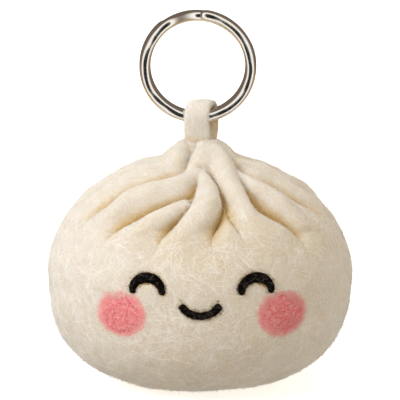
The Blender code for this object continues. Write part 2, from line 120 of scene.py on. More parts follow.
# Thick rolls of wool at the knot: places along each roll as seen from the camera (x, height up the
# picture plane), its radius there and how far it stands out of the bun, all in mm
KNOT_ROLLS = {
    "front_fold": (
        (-0.9, 46.9, 1.6, 0.9), (1.1, 48.3, 2.7, 1.6), (3.4, 48.6, 3.1, 2.0), (4.8, 46.6, 2.8, 1.8),
        (6.4, 43.4, 2.3, 1.4), (8.4, 39.8, 2.2, 1.1), (10.4, 36.8, 2.1, 0.8), (12.4, 34.0, 2.0, 0.2)),
    "left_lobe": ((-4.1, 49.8, 1.9, 1.3), (-4.8, 48.2, 2.4, 2.1), (-5.1, 46.6, 2.0, 1.5)),
    "left_long_roll": (
        (-0.6, 45.2, 1.6, 0.3), (-4.6, 42.7, 2.4, 0.9), (-9.6, 41.2, 2.7, 1.6), (-15.1, 39.0, 3.0, 1.5),
        (-19.5, 36.2, 3.0, 0.8), (-22.6, 33.4, 2.6, 0.0)),
    "left_inner_roll": ((-3.3, 38.4, 1.2, 0.2), (-8.9, 35.3, 2.6, 0.8), (-14.5, 31.8, 3.2, 0.5)),
    "middle_roll": (
        (0.7, 45.2, 1.2, 0.0), (1.7, 42.4, 2.4, 0.4), (1.8, 39.2, 3.0, 1.2), (0.3, 36.2, 3.1, 1.3),
        (-2.2, 33.4, 3.0, 0.8), (-4.6, 30.6, 2.6, 0.0)),
    "left_upper_roll": (
        (-6.8, 46.8, 1.7, 0.7), (-12.0, 45.7, 1.9, 1.0), (-17.1, 43.6, 1.8, 0.6), (-21.5, 40.6, 1.6, 0.0)),
    "right_roll": (
        (7.6, 45.1, 1.0, 0.3), (12.1, 42.1, 2.0, 1.1), (17.2, 38.7, 2.8, 1.2), (22.1, 34.4, 3.0, 0.5)),
    "right_upper_roll": ((8.1, 47.4, 1.5, 0.5), (13.4, 45.8, 1.6, 0.9), (19.0, 43.0, 1.7, 0.6)),
}
# The rolls reach down to this height and back to this depth
ROLLS_ABOVE = 30.0 * MM
ROLLS_BEFORE = 8.0 * MM
# The depth at which the wool has the full painted warm shade of a crease
FULL_CREASE_SHADE_DEPTH = 3.2 * MM
ROLL_EDGE = 0.45 * MM
ROLL_WALL = 2.0

# Fibres that lie on the felt: their lengths, greatest bend, lift of their middles, depth of their ends,
# widths as shares of the fibre width, lowest and highest tone and its power, and steps. Sizes in mm
LAID = {
    "bun_fibres_1": ((1.2, 3.6), 0.4, (-0.01, 0.04), 0.05, (0.6, 1.3), (0.0, 1.0, 2), 5),
    "bun_fibres_2": ((1.5, 4.2), 0.35, (-0.01, 0.04), 0.05, (0.6, 1.3), (0.0, 1.0, 2), 5),
    "bun_fibres_3": ((2.0, 5.0), 0.3, (-0.01, 0.04), 0.05, (0.6, 1.2), (0.0, 1.0, 2), 5),
    "bun_long_fibres": ((3.5, 9.0), 0.22, (-0.01, 0.04), 0.05, (0.9, 1.5), (0.0, 1.0, 2), 8),
    "strap_fibres": ((1.0, 3.2), 0.15, (-0.01, 0.04), 0.05, (0.6, 1.2), (0.0, 1.0, 2), 5),
    "line_fibres": ((0.6, 1.8), 0.25, (0.03, 0.12), 0.05, (0.5, 1.1), (0.0, 1.0, 5), 5),
    "line_rim": ((0.25, 0.7), 0.3, (0.02, 0.08), 0.05, (0.4, 0.9), (0.0, 0.4, 1), 5),
    "cheek_fibres": ((0.5, 1.5), 0.5, (0.0, 0.1), 0.1, (0.7, 1.2), (0.0, 1.0, 1), 5),
    "cheek_rim": ((0.3, 0.8), 0.4, (0.0, 0.08), 0.05, (0.5, 1.0), (0.3, 1.0, 1), 5),
}
# Hairs that stand on it: their lengths, heights, widths and tones in the same way
STANDING = {
    "bun_short_hairs": ((0.5, 1.4), (0.15, 0.6), (0.7, 1.2), (0.3, 1.0, 1)),
    "strap_short_hairs": ((0.4, 1.0), (0.1, 0.35), (0.5, 0.9), (0.0, 1.0, 1)),
}
STANDING_STEPS = 4
HAIR_ROOT = 0.05 * MM
FLOOR_GAP = 0.05 * MM

# Each group's share of the fibres that lie on the bun
FIBRE_SHARES = {"bun_fibres_1": 0.30, "bun_fibres_2": 0.30, "bun_fibres_3": 0.30, "bun_long_fibres": 0.10}
STRAP_FIBRES = 1200
LINE_FIBRES = 240
CHEEK_FIBRES = 1000
CHEEK_RIM_FIBRES = 1400

# How much of a fibre's own roundness shows in its shading; the rest follows the felt under it
OWN_SHADE = 0.3

# The face lines and cheeks, in the plane that faces the viewer
EYE_FOOT_Z = 25.9 * MM
EYE_ARCH_HALF_WIDTH = 3.15 * MM
EYE_ARCH_HEIGHT = 2.85 * MM
EYE_TOP_STROKE = 1.15 * MM
EYE_FOOT_STROKE = 0.72 * MM
SMILE_X = 0.2 * MM
SMILE_LOW_Z = 20.8 * MM
SMILE_RADIUS = 4.75 * MM
SMILE_HALF_ANGLE = math.radians(52)
SMILE_STROKE = 0.8 * MM
FACE_PROUD = 0.55 * MM
CHEEK_Z = 20.35 * MM
CHEEK_HALF_WIDTH = 4.7 * MM
CHEEK_HALF_HEIGHT = 4.5 * MM
CHEEK_PROUD = 0.35 * MM
CHEEK_SHOWN = 0.90
CHEEK_DEPTH = 0.8 * MM
CHEEK_TUCK = 0.13 * MM
CHEEK_COLUMNS = 128
CHEEK_ROWS = 64
LINE_SINK = 0.45 * MM
LINE_SINK_REACH = 1.25
CHEEK_SINK = 0.7 * MM
LINE_RIM_EDGE = ((0.75, 0.9), (0.95, 1.25))
CHEEK_RIM_EDGE = ((0.76, 0.88), (0.90, 1.12))
BLUSH_EDGE = (0.86, 1.22)
LINE_SAMPLES = 33
LINE_STEPS = 56
LINE_END_STEPS = 10
# Distance given to points on the back of the bun, far from every line and cheek
BEHIND = 9.0

# The split ring: two turns of flattened wire
CROSSING_START = math.radians(328)
CROSSING_END = math.radians(359)
RING_END_CLEARANCE = math.radians(3)
CROSSING_DIP = 0.45 * MM
DIP_STARTS = (math.radians(325), math.radians(365))
DIP_ENDS = (math.radians(385), math.radians(445))
RING_STEPS_A_TURN = 176
RING_X = -0.35 * MM
RING_LEAN = math.radians(4)
RING_AXIS_Z = 57.8 * MM
COIL_GAP = 0.10 * MM
WIRE_SECTION_POWER = 2.6
WIRE_SECTION_STEPS = 40
TUBE_STEPS = 10

# The strap loop
LOOP_HOLE_HALF_HEIGHT = 1.95 * MM
LOOP_HOLE_HALF_DEPTH = 2.3 * MM
LEG_SPREAD_AT_FOOT = 2.0 * MM
LEG_FOOT_Z = 50.2 * MM
LOOP_SHEAR = 0.33
LOOP_X = 0.37 * MM
STRAP_SECTION_POWER = 2.7
STRAP_SECTION_STEPS = 64
LEG_STEPS = 28
ARCH_STEPS = 56
# Painted light: the whole strap's wool is made lighter by this share
STRAP_PAINTED_LIGHT = 0.5

# The round paper floor under the charm
FLOOR_RADIUS = 0.55

# The light tent's dark opening in front, as the ring mirrors it
OPENING_TILT = math.radians(-19)
OPENING_EDGE = (math.radians(7), math.radians(12))
CLOTH_EDGE = (math.radians(15), math.radians(36))

# The photograph's view
VIEW_ELEVATION = math.radians(11)
VIEW_WIDTH = 85.84 * MM
VIEW_CENTRE_X = 0.107 * MM
VIEW_CENTRE_UP = 38.92 * MM


# Colours and small helpers
def linear(hex_colour):
    """An sRGB hex colour as linear red, green, blue and full opacity."""
    channels = [int(hex_colour[place:place + 2], 16) / 255 for place in (1, 3, 5)]
    turned = [c / 12.92 if c <= 0.04045 else ((c + 0.055) / 1.055) ** 2.4 for c in channels]
    return (*turned, 1.0)


def smoothstep(low, high, value):
    share = np.clip((value - low) / (high - low), 0.0, 1.0)
    return share * share * (3.0 - 2.0 * share)


def read(items, name, width, kind=np.float32):
    """The named values of all the items, width numbers in each row."""
    flat = np.empty(len(items) * width, kind)
    items.foreach_get(name, flat)
    return flat.reshape(-1, width)


def mesh_points(mesh):
    return read(mesh.vertices, "co", 3).astype(float)


def set_mesh_points(mesh, points):
    mesh.vertices.foreach_set("co", np.ascontiguousarray(points, np.float32).ravel())
    mesh.update()


def mesh_normals(mesh):
    return read(mesh.vertex_normals, "vector", 3).astype(float)


def keep_values(mesh, name, values):
    """Keeps one number for each point of the mesh, for its material to read."""
    attribute = mesh.attributes.new(name, "FLOAT", "POINT")
    attribute.data.foreach_set("value", np.ascontiguousarray(values, np.float32))


def mesh_from_bmesh(name, bm):
    mesh = bpy.data.meshes.new(name)
    bm.to_mesh(mesh)
    bm.free()
    mesh.shade_smooth()
    return mesh


def ball(columns, rows):
    """A unit sphere of quads. Its points and faces come in the same order in each run, which the
    sphere operator's don't, so that the fibres sown on it lie in the same places."""
    bm = bmesh.new()
    bmesh.ops.create_grid(bm, x_segments=columns, y_segments=rows, size=1.0)
    for number, vertex in enumerate(bm.verts):
        row, column = divmod(number, columns + 1)
        down = math.pi * row / rows
        turn = 2 * math.pi * (column % columns) / columns
        vertex.co = (math.sin(down) * math.cos(turn), math.sin(down) * math.sin(turn), math.cos(down))
    bmesh.ops.remove_doubles(bm, verts=bm.verts, dist=1e-6)
    if bm.calc_volume(signed=True) < 0.0:
        bmesh.ops.reverse_faces(bm, faces=bm.faces)
    return bm


def add_piece(name, mesh, material, body, stands_for=()):
    """Shows a finished mesh as a piece of the object that rides on a CAD body."""
    mesh.name = name
    mesh.materials.clear()
    mesh.materials.append(material)
    piece = bpy.data.objects.new(name, mesh)
    bpy.context.scene.collection.objects.link(piece)
    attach(piece, body)
    if stands_for:
        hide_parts(*stands_for)
    return piece


def lumps(points, size, seed, waves=40):
    """Smooth random heights from about -1 to 1 that change over the given size."""
    draw = np.random.default_rng(seed)
    ways = draw.normal(size=(waves, 3))
    ways /= np.linalg.norm(ways, axis=1)[:, None]
    ways *= (math.pi / size) * draw.uniform(0.6, 1.4, waves)[:, None]
    starts = draw.uniform(0, 2 * math.pi, waves)
    total = np.zeros(len(points))
    for way, start in zip(ways, starts):
        total += np.cos(points @ way + start)
    return total / math.sqrt(waves)


# The bun's surface
def bowl_depth():
    """Half height of the full bowl curve, of which the flat spot cuts off the tip."""
    cut = (BASE_FLAT_RADIUS / BODY_RADIUS) ** BASE_ROUNDNESS
    return WIDEST_HEIGHT / (1.0 - cut) ** (1.0 / BASE_ROUNDNESS)


def body_radius(z):
    """Radius of the plain body at height z."""
    if z > WIDEST_HEIGHT:
        climb = (z - WIDEST_HEIGHT) / DOME_HEIGHT
        return BODY_RADIUS * (1.0 - climb ** DOME_ROUNDNESS) ** (1.0 / DOME_ROUNDNESS)
    drop = (WIDEST_HEIGHT - z) / bowl_depth()
    return BODY_RADIUS * (1.0 - drop ** BASE_ROUNDNESS) ** (1.0 / BASE_ROUNDNESS)


def front_point(x, z, lift=0.0):
    """The point of the plain front at x and z, raised by lift along the surface normal."""
    step = 0.05 * MM
    radius = body_radius(z)
    y = -math.sqrt(radius * radius - x * x)
    slope = (body_radius(z + step) - body_radius(z - step)) / (2 * step)
    normal = np.array([x / radius, y / radius, -slope])
    normal /= np.linalg.norm(normal)
    return np.array([x, y, z]) + lift * normal


def crease_table():
    """Every crease in order of azimuth: azimuths at the stations, depth, start and end radius."""
    creases = [(list(azimuths), depth, start, end) for azimuths, depth, start, end in FRONT_CREASES.values()]
    draw = random.Random(BACK_SEED)
    first = creases[-1][0]
    last = [azimuth + 360.0 for azimuth in creases[0][0]]
    for number in range(1, BACK_CREASE_COUNT + 1):
        share = number / (BACK_CREASE_COUNT + 1)
        jitter = draw.uniform(-3.0, 3.0)
        twist = draw.uniform(-5.0, 5.0)
        azimuths = []
        for station, (low, high) in enumerate(zip(first, last)):
            out = station / (len(CREASE_STATIONS) - 1)
            azimuths.append(low + (high - low) * share + jitter + twist * out)
        depth = BACK_DEPTH * draw.uniform(0.8, 1.2)
        start = draw.uniform(4.0, 9.0) * MM
        end = draw.uniform(28.5, 31.5) * MM
        creases.append((azimuths, depth, start, end))
    return creases


def crease_azimuth(azimuths, radius):
    """Azimuth of a crease at each plan radius, on a smooth curve through its stations."""
    padded = np.array([azimuths[0], *azimuths, azimuths[-1]], float)
    span = CREASE_STATIONS[1] - CREASE_STATIONS[0]
    along = np.clip((radius - CREASE_STATIONS[0]) / span, 0.0, len(azimuths) - 1)
    index = np.minimum(along.astype(int), len(azimuths) - 2)
    t = along - index
    before, low, high, after = (padded[index + shift] for shift in range(4))
    slope_low = 0.5 * (high - before)
    slope_high = 0.5 * (after - low)
    t2, t3 = t * t, t * t * t
    return ((2 * t3 - 3 * t2 + 1) * low + (t3 - 2 * t2 + t) * slope_low
            + (3 * t2 - 2 * t3) * high + (t3 - t2) * slope_high)


def crease_depth(crease, radius):
    _, depth, start, end = crease
    rise = smoothstep(start, start + RISE_LENGTH, radius)
    fade = 1.0 - smoothstep(end - FADE_LENGTH, end, radius)
    in_knot = KNOT_CREASE_SHARE + (1.0 - KNOT_CREASE_SHARE) * smoothstep(*KNOT_EDGE, radius)
    return depth * rise * fade * in_knot


def crease_sink(radius, degrees, creases, azimuths):
    """How deep the pleats lie at each plan radius and azimuth, as the soft maximum of all creases."""
    half_width = np.minimum(ROLL_HALF_WIDTH, KNOT_ROLL_HALF_WIDTH + ROLL_SPREAD * radius)
    total = np.zeros(len(radius))
    for crease, azimuth in zip(creases, azimuths):
        turn = (degrees - azimuth + 180.0) % 360.0 - 180.0
        rest = 1.0 - np.minimum(np.abs(np.radians(turn)) * radius / half_width, 1.0)
        roll = 0.65 * (1.0 - np.sqrt(1.0 - rest * rest)) + 0.35 * rest * rest
        total += (crease_depth(crease, radius) * roll) ** ROLL_BLEND
    return total ** (1.0 / ROLL_BLEND)


def knot_form(radius, degrees):
    """The fold over the front of the knot stands out, and the neck beside it and behind is drawn in."""
    aside = np.where(degrees < 180.0, ((degrees - FOLD_MIDDLE) / FOLD_HALF_ANGLE) ** 4, 50.0)
    front = np.exp(-np.minimum(aside, 50.0))
    fold = FOLD_BULGE * np.exp(-(((radius - FOLD_RADIUS) / FOLD_SPREAD) ** 2))
    neck = NECK_DIP * np.exp(-(((radius - NECK_RADIUS) / NECK_SPREAD) ** 2))
    facing = np.cos(np.radians(degrees)) ** 2
    return fold * front - neck * facing * (1.0 - front)


def dome_profile():
    """Plan radius, height and steepness of the normal of each row of the dome, knot first."""
    angle = 0.5 * math.pi * np.arange(DOME_ROWS + 1) / DOME_ROWS
    radius = BODY_RADIUS * np.sin(angle) ** (2.0 / DOME_ROUNDNESS)
    rise = KNOT_RISE * np.exp(-((radius / KNOT_SPREAD) ** KNOT_STEEPNESS))
    height = WIDEST_HEIGHT + DOME_HEIGHT * np.clip(np.cos(angle), 0.0, 1.0) ** (2.0 / DOME_ROUNDNESS) + rise
    slope = np.arctan2(np.gradient(radius), -np.gradient(height))
    slope[0], slope[-1] = 0.5 * math.pi, 0.0
    return radius, height, slope


def bowl_profile():
    """Radius and height of each row below the widest one, the middle of the base last."""
    full_turn = math.asin((WIDEST_HEIGHT / bowl_depth()) ** (0.5 * BASE_ROUNDNESS))
    angle = full_turn * np.arange(1, BOWL_ROWS + 1) / BOWL_ROWS
    radius = BODY_RADIUS * np.cos(angle) ** (2.0 / BASE_ROUNDNESS)
    height = WIDEST_HEIGHT - bowl_depth() * np.sin(angle) ** (2.0 / BASE_ROUNDNESS)
    flat_radius = BASE_FLAT_RADIUS * (1.0 - np.arange(1, BASE_ROWS + 1) / BASE_ROWS)
    return np.concatenate([radius, flat_radius]), np.concatenate([height, np.zeros(BASE_ROWS)])


def bun_mesh():
    """A fine ball moved to the pleated bun; returns the mesh and each point's share of crease depth, which
    sets its painted crease shade.
    """
    creases = crease_table()
    columns = COLUMNS_IN_A_PLEAT * len(creases)
    rows = DOME_ROWS + BOWL_ROWS + BASE_ROWS
    mesh = mesh_from_bmesh("bun_felt", ball(columns, rows))
    unit = mesh_points(mesh)
    row = np.rint(np.arccos(np.clip(unit[:, 2], -1.0, 1.0)) / math.pi * rows).astype(int)
    turn = np.arctan2(unit[:, 1], unit[:, 0]) % (2 * math.pi)
    column = np.rint(turn / (2 * math.pi) * columns).astype(int) % columns
    pleat, place = np.divmod(column, COLUMNS_IN_A_PLEAT)
    share = place / COLUMNS_IN_A_PLEAT
    share = share - COLUMN_GATHER * np.sin(2 * math.pi * share)

    dome_radius, dome_height, dome_slope = dome_profile()
    bowl_radius, bowl_height = bowl_profile()
    plan_radius = np.concatenate([dome_radius, np.full(len(bowl_radius), BODY_RADIUS)])[row]
    height = np.concatenate([dome_height, bowl_height])[row]
    slope = np.concatenate([dome_slope, np.zeros(len(bowl_radius))])[row]
    drawn_in = np.concatenate([np.ones(len(dome_radius)), bowl_radius / BODY_RADIUS])[row]

    azimuths = np.array([crease_azimuth(crease[0], plan_radius) for crease in creases])
    each = np.arange(len(row))
    left = azimuths[pleat, each]
    right = azimuths[(pleat + 1) % len(creases), each] + np.where(pleat == len(creases) - 1, 360.0, 0.0)
    degrees = left + (right - left) * share
    pleated = smoothstep(*RIDGE_START, plan_radius) * (1.0 - smoothstep(*RIDGE_END, plan_radius))
    fold_depth = crease_sink(plan_radius, degrees, creases, azimuths)
    rise = RIDGE_BULGE * pleated + knot_form(plan_radius, degrees) - fold_depth

    turn = np.radians(degrees)
    towards_knot = np.maximum(0.0, 1.0 - plan_radius / BODY_RADIUS) ** 2
    x = (KNOT_X * towards_knot + plan_radius * np.sin(turn)) * drawn_in
    y = (KNOT_Y * towards_knot - plan_radius * np.cos(turn)) * drawn_in
    dimple = ((x - LOOP_X) / STRAP_DIMPLE_WIDTH) ** 2 + (y / STRAP_DIMPLE_DEPTH) ** 2
    z = height - STRAP_DIMPLE * np.exp(-dimple) * (drawn_in == 1.0)
    plain = np.stack([x, y, z], axis=1)
    normals = np.stack([np.cos(slope) * np.sin(turn), -np.cos(slope) * np.cos(turn), np.sin(slope)], axis=1)
    set_mesh_points(mesh, plain)
    tree = tree_of(mesh)
    near = (z > ROLLS_ABOVE) & (y < ROLLS_BEFORE)
    for stations in KNOT_ROLLS.values():
        skin = roll_height(plain[near], normals[near], *roll_axis(tree, stations))
        rise[near] = soft_maximum(rise[near], skin, ROLL_EDGE)
    set_mesh_points(mesh, plain + normals * (rise * (drawn_in == 1.0))[:, None])
    return mesh, np.clip(-rise / FULL_CREASE_SHADE_DEPTH, 0.0, 1.0)


def roll_axis(tree, stations):
    """Middle line and radii of a roll: each station is cast onto the plain dome from the camera's side."""
    towards = np.array([0.0, -math.cos(VIEW_ELEVATION), math.sin(VIEW_ELEVATION)])
    up = np.array([0.0, math.sin(VIEW_ELEVATION), math.cos(VIEW_ELEVATION)])
    middles, radii = [], []
    for x, rise, radius, proud in stations:
        start = towards * 0.2 + up * rise * MM + np.array([x * MM, 0.0, 0.0])
        spot, normal, _, _ = tree.ray_cast(Vector(start), Vector(-towards))
        middles.append(np.array(spot) - np.array(normal) * (radius - proud) * MM)
        radii.append(radius * MM)
    fine = np.linspace(0, len(middles) - 1, 12 * len(middles))
    spots = np.arange(len(middles))
    middles = np.stack([np.interp(fine, spots, np.array(middles)[:, axis]) for axis in range(3)], axis=1)
    return middles, np.interp(fine, spots, radii)


def roll_height(points, normals, middles, radii):
    """Height of a roll's skin above each point of the plain dome, falling steeply outside the roll."""
    gaps = ((points[:, None, :] - middles[None, :, :]) ** 2).sum(axis=2)
    nearest = gaps.argmin(axis=1)
    offset = points - middles[nearest]
    radius = radii[nearest]
    inwards = (offset * normals).sum(axis=1)
    aside = np.sqrt(np.maximum((offset ** 2).sum(axis=1) - inwards ** 2, 0.0))
    round_part = np.sqrt(np.maximum(radius ** 2 - aside ** 2, 0.0))
    return round_part - inwards - ROLL_WALL * np.maximum(aside - radius, 0.0)


def soft_maximum(first, second, reach):
    """The larger of the two, rounded where they are within reach of each other."""
    blend = np.maximum(reach - np.abs(first - second), 0.0)
    return np.maximum(first, second) + blend * blend / (4.0 * reach)


def line_distance(points, path, stroke):
    """How far each point lies from a face line's middle as seen from the front: 1 on its edge."""
    nearest = np.full(len(points), BEHIND)
    for share in np.linspace(0.0, 1.0, LINE_SAMPLES):
        place = path(share)
        away = np.hypot(points[:, 0] - place[0], points[:, 2] - place[2]) / stroke(share)
        nearest = np.minimum(nearest, away)
    return np.where(points[:, 1] < 0.0, nearest, BEHIND)


def rim_share(away, edge):
    """Weight for the fibres round an edge, from a distance that is 1 on the edge: it rises over the
    first pair and falls over the second."""
    return smoothstep(*edge[0], away) * (1.0 - smoothstep(*edge[1], away))


def cheek_distance(points, cheek_x):
    """How far each point lies from a cheek's middle: 1 on its edge."""
    across = (points[:, 0] - cheek_x) / CHEEK_HALF_WIDTH
    up = (points[:, 2] - CHEEK_Z) / CHEEK_HALF_HEIGHT
    return np.where(points[:, 1] < 0.0, np.sqrt(across * across + up * up), BEHIND)


# Fibres
def spots_on(mesh, count, draw, weight=None, upright=False):
    """Random places on a mesh, spread evenly or by a weight at each point: the places, their normals,
    headings in the surface and triangles."""
    mesh.calc_loop_triangles()
    corners = read(mesh.loop_triangles, "vertices", 3, np.int32)
    points = mesh_points(mesh)
    a, b, c = (points[corners[:, place]] for place in range(3))
    across = np.cross(b - a, c - a)
    double_area = np.linalg.norm(across, axis=1)
    chance = double_area.copy()
    if weight is not None:
        chance *= weight[corners].mean(axis=1)
    chosen = draw.choice(len(corners), size=count, p=chance / chance.sum())
    first = np.sqrt(draw.random(count))[:, None]
    second = draw.random(count)[:, None]
    places = (1 - first) * a[chosen] + first * (1 - second) * b[chosen] + first * second * c[chosen]
    normals = across[chosen] / np.maximum(double_area[chosen], 1e-12)[:, None]
    angles = draw.normal(0.5 * math.pi, 0.5, count) if upright else draw.uniform(0, 2 * math.pi, count)
    level = np.cross(np.tile([0.0, 0.0, 1.0], (count, 1)), normals) + np.array([1e-6, 0.0, 0.0])
    level /= np.linalg.norm(level, axis=1)[:, None]
    headings = np.cos(angles)[:, None] * level + np.sin(angles)[:, None] * np.cross(normals, level)
    return places, normals, headings, corners[chosen]


def lay_fibres(name, row, tree, spots, draw, material, values):
    """Lays a fibre at each spot in an arc on the felt, its middle lifted and its ends let in."""
    lengths, bend, lifts, dip, widths, tones, steps = row
    places, normals, headings, _ = spots
    count = len(places)
    lengths = draw.uniform(*lengths, count) * MM
    bends = draw.uniform(-bend, bend, count)
    lift = draw.uniform(*lifts, count) * MM
    sides = np.cross(normals, headings)
    paths = np.empty((count, steps, 3))
    felt_normals = np.empty_like(paths)
    for step in range(steps):
        along = 2.0 * step / (steps - 1) - 1.0
        point = (places + headings * (0.5 * along * lengths)[:, None]
                 + sides * (bends * lengths * (1.0 - along * along))[:, None])
        height = lift * (1.0 - along * along) - dip * MM * along ** 4
        for number in range(count):
            spot, normal, _, _ = tree.find_nearest(Vector(point[number]))
            paths[number, step] = spot + normal * height[number]
            felt_normals[number, step] = normal
    add_fibres(name, paths, felt_normals, draw, widths, tones, material, values)


def stand_hairs(name, spots, draw, material, values):
    """Roots a short hair at each spot, its free end lifted off the felt."""
    lengths, heights, widths, tones = STANDING[name]
    places, normals, headings, _ = spots
    count = len(places)
    lengths = draw.uniform(*lengths, count) * MM
    heights = draw.uniform(*heights, count) * MM
    sides = np.cross(normals, headings)
    paths = np.empty((count, STANDING_STEPS, 3))
    for step in range(STANDING_STEPS):
        along = step / (STANDING_STEPS - 1)
        point = (places + headings * (along * lengths)[:, None]
                 + sides * (0.25 * lengths * along * along)[:, None])
        height = heights * along ** 1.5 - HAIR_ROOT * (1.0 - along)
        paths[:, step] = point + normals * height[:, None]
    felt_normals = np.repeat(normals[:, None, :], STANDING_STEPS, axis=1)
    add_fibres(name, paths, felt_normals, draw, widths, tones, material, values)


def add_fibres(name, paths, felt_normals, draw, widths, tones, material, values):
    """Shows loose fibres, each with its own width, tone and other values. They're too fine and clear to
    cast a shadow of their own."""
    paths[:, :, 2] = np.maximum(paths[:, :, 2], FLOOR_GAP)
    width = bpy.context.scene.felt_bun_felt.fibre_width * draw.uniform(*widths, len(paths))
    mesh = fibre_mesh(name, paths, felt_normals, width)
    low, high, power = tones
    for key, each in (("tone", draw.uniform(low, high, len(paths)) ** power), *values.items()):
        keep_values(mesh, key, np.repeat(each, len(mesh.vertices) // len(each)))
    add_piece(name, mesh, material, "bun").visible_shadow = False


def fibre_mesh(name, paths, felt_normals, widths):
    """Every path as a thin three-sided fibre with fine ends, all in one mesh. Real fibres glow with the
    light inside the felt, so they're shaded mostly by the felt's normals and have no dark side."""
    turns = [-2 * math.pi * number / 3 for number in range(3)]
    curve = bpy.data.curves.new(name, "CURVE")
    steps = paths.shape[1]
    taper = 1.0 - 0.6 * np.linspace(-1.0, 1.0, steps) ** 4
    for path, width in zip(paths, widths):
        spline = curve.splines.new("POLY")
        spline.points.add(steps - 1)
        spline.points.foreach_set("co", np.column_stack([path, np.ones(steps)]).ravel())
        spline.points.foreach_set("radius", 0.5 * width * taper)
    mesh = mesh_of_curve(curve, outline_guide([(math.cos(turn), math.sin(turn)) for turn in turns]))
    bm = bmesh.new()
    bm.from_mesh(mesh)
    bmesh.ops.holes_fill(bm, edges=[edge for edge in bm.edges if edge.is_boundary], sides=3)
    if bm.calc_volume(signed=True) < 0.0:
        bmesh.ops.reverse_faces(bm, faces=bm.faces)
    bm.to_mesh(mesh)
    bm.free()
    mesh.shade_smooth()
    sides = len(mesh.vertices) // (len(paths) * steps)
    shading = np.repeat(felt_normals.reshape(-1, 3), sides, axis=0)
    shading = (1.0 - OWN_SHADE) * shading + OWN_SHADE * mesh_normals(mesh)
    shading /= np.linalg.norm(shading, axis=1)[:, None]
    mesh.normals_split_custom_set_from_vertices(shading.tolist())
    return mesh


def tree_of(mesh):
    return BVHTree.FromPolygons(mesh_points(mesh).tolist(), [tuple(face.vertices) for face in mesh.polygons])


# Swept shapes
def outline_guide(corners):
    """A closed flat outline to sweep along a curve."""
    curve = bpy.data.curves.new("outline", "CURVE")
    curve.dimensions = "2D"
    curve.fill_mode = "NONE"
    spline = curve.splines.new("POLY")
    spline.points.add(len(corners) - 1)
    spline.use_cyclic_u = True
    for place, corner in zip(spline.points, corners):
        place.co = (*corner, 0.0, 1.0)
    return bpy.data.objects.new("outline", curve)


def section_outline(width, thickness, power, steps):
    """A closed outline, width across and thickness deep, between an oval and a box."""
    corners = []
    for number in range(steps):
        angle = 2 * math.pi * number / steps
        across = math.copysign(abs(math.cos(angle)) ** (2 / power), math.cos(angle))
        deep = math.copysign(abs(math.sin(angle)) ** (2 / power), math.sin(angle))
        corners.append((0.5 * width * across, 0.5 * thickness * deep))
    return outline_guide(corners)


def mesh_of_curve(curve, guide=None):
    """The mesh that a curve sweeps out; the curve and its outline are taken away again."""
    curve.dimensions = "3D"
    if guide:
        curve.bevel_mode = "OBJECT"
        curve.bevel_object = guide
    thing = bpy.data.objects.new(curve.name, curve)
    helpers = [thing, guide] if guide else [thing]
    for helper in helpers:
        bpy.context.scene.collection.objects.link(helper)
    graph = bpy.context.evaluated_depsgraph_get()
    mesh = bpy.data.meshes.new_from_object(thing.evaluated_get(graph))
    for helper in helpers:
        bpy.data.objects.remove(helper, do_unlink=True)
    return mesh


def swept_mesh(name, points, radii, guide=None, turn=None):
    """A closed mesh swept along the points: the guide's outline kept upright, or a round tube."""
    curve = bpy.data.curves.new(name, "CURVE")
    curve.use_fill_caps = True
    curve.twist_mode = "Z_UP" if guide else "MINIMUM"
    if not guide:
        curve.bevel_depth = 1.0
        curve.bevel_resolution = TUBE_STEPS
    spline = curve.splines.new("POLY")
    spline.points.add(len(points) - 1)
    for place, point, radius in zip(spline.points, points, radii):
        place.co = (*point, 1.0)
        place.radius = radius
    mesh = mesh_of_curve(curve, guide)
    bm = bmesh.new()
    bm.from_mesh(mesh)
    bmesh.ops.remove_doubles(bm, verts=bm.verts, dist=0.001 * MM)
    if turn:
        for vertex in bm.verts:
            vertex.co = turn(vertex.co)
    bmesh.ops.recalc_face_normals(bm, faces=bm.faces)
    bm.to_mesh(mesh)
    bm.free()
    mesh.shade_smooth()
    return mesh


def eye_stroke(share):
    return EYE_FOOT_STROKE + (EYE_TOP_STROKE - EYE_FOOT_STROKE) * math.sin(math.pi * share)


def eye_path(eye_x):
    def path(share):
        angle = math.pi * (1.0 - share)
        x = eye_x + EYE_ARCH_HALF_WIDTH * math.cos(angle)
        z = EYE_FOOT_Z + EYE_ARCH_HEIGHT * math.sin(angle)
        return front_point(x, z, FACE_PROUD - eye_stroke(share))
    return path


def smile_stroke(share):
    return SMILE_STROKE


def smile_path(share):
    angle = SMILE_HALF_ANGLE * (2.0 * share - 1.0)
    x = SMILE_X + SMILE_RADIUS * math.sin(angle)
    z = SMILE_LOW_Z + SMILE_RADIUS * (1.0 - math.cos(angle))
    return front_point(x, z, FACE_PROUD - SMILE_STROKE)


def face_lines(face):
    """Each line of the face by name: its path and its half width along it."""
    return {
        "left_eye": (eye_path(face.left_eye_x), eye_stroke),
        "right_eye": (eye_path(face.right_eye_x), eye_stroke),
        "smile": (smile_path, smile_stroke),
    }


def round_ended(path, radius_at):
    """Points and radii along path(0..1), with the two ends rounded off."""
    shares = [number / LINE_STEPS for number in range(LINE_STEPS + 1)]
    points = [path(share) for share in shares]
    radii = [radius_at(share) for share in shares]
    start_way = points[0] - points[1]
    end_way = points[-1] - points[-2]
    for number in range(1, LINE_END_STEPS + 1):
        turn = math.radians(86) * number / LINE_END_STEPS
        for way, share in ((start_way, 0.0), (end_way, 1.0)):
            place = len(points) if share else 0
            out = way / np.linalg.norm(way) * radius_at(share) * math.sin(turn)
            points.insert(place, path(share) + out)
            radii.insert(place, radius_at(share) * math.cos(turn))
    return points, radii


def roughen(mesh, bands):
    """Moves the mesh along its normals by random lumps: each band is height, size and seed."""
    points = mesh_points(mesh)
    normals = mesh_normals(mesh)
    height = sum(rise * lumps(points, size, seed) for rise, size, seed in bands)
    set_mesh_points(mesh, points + normals * height[:, None])


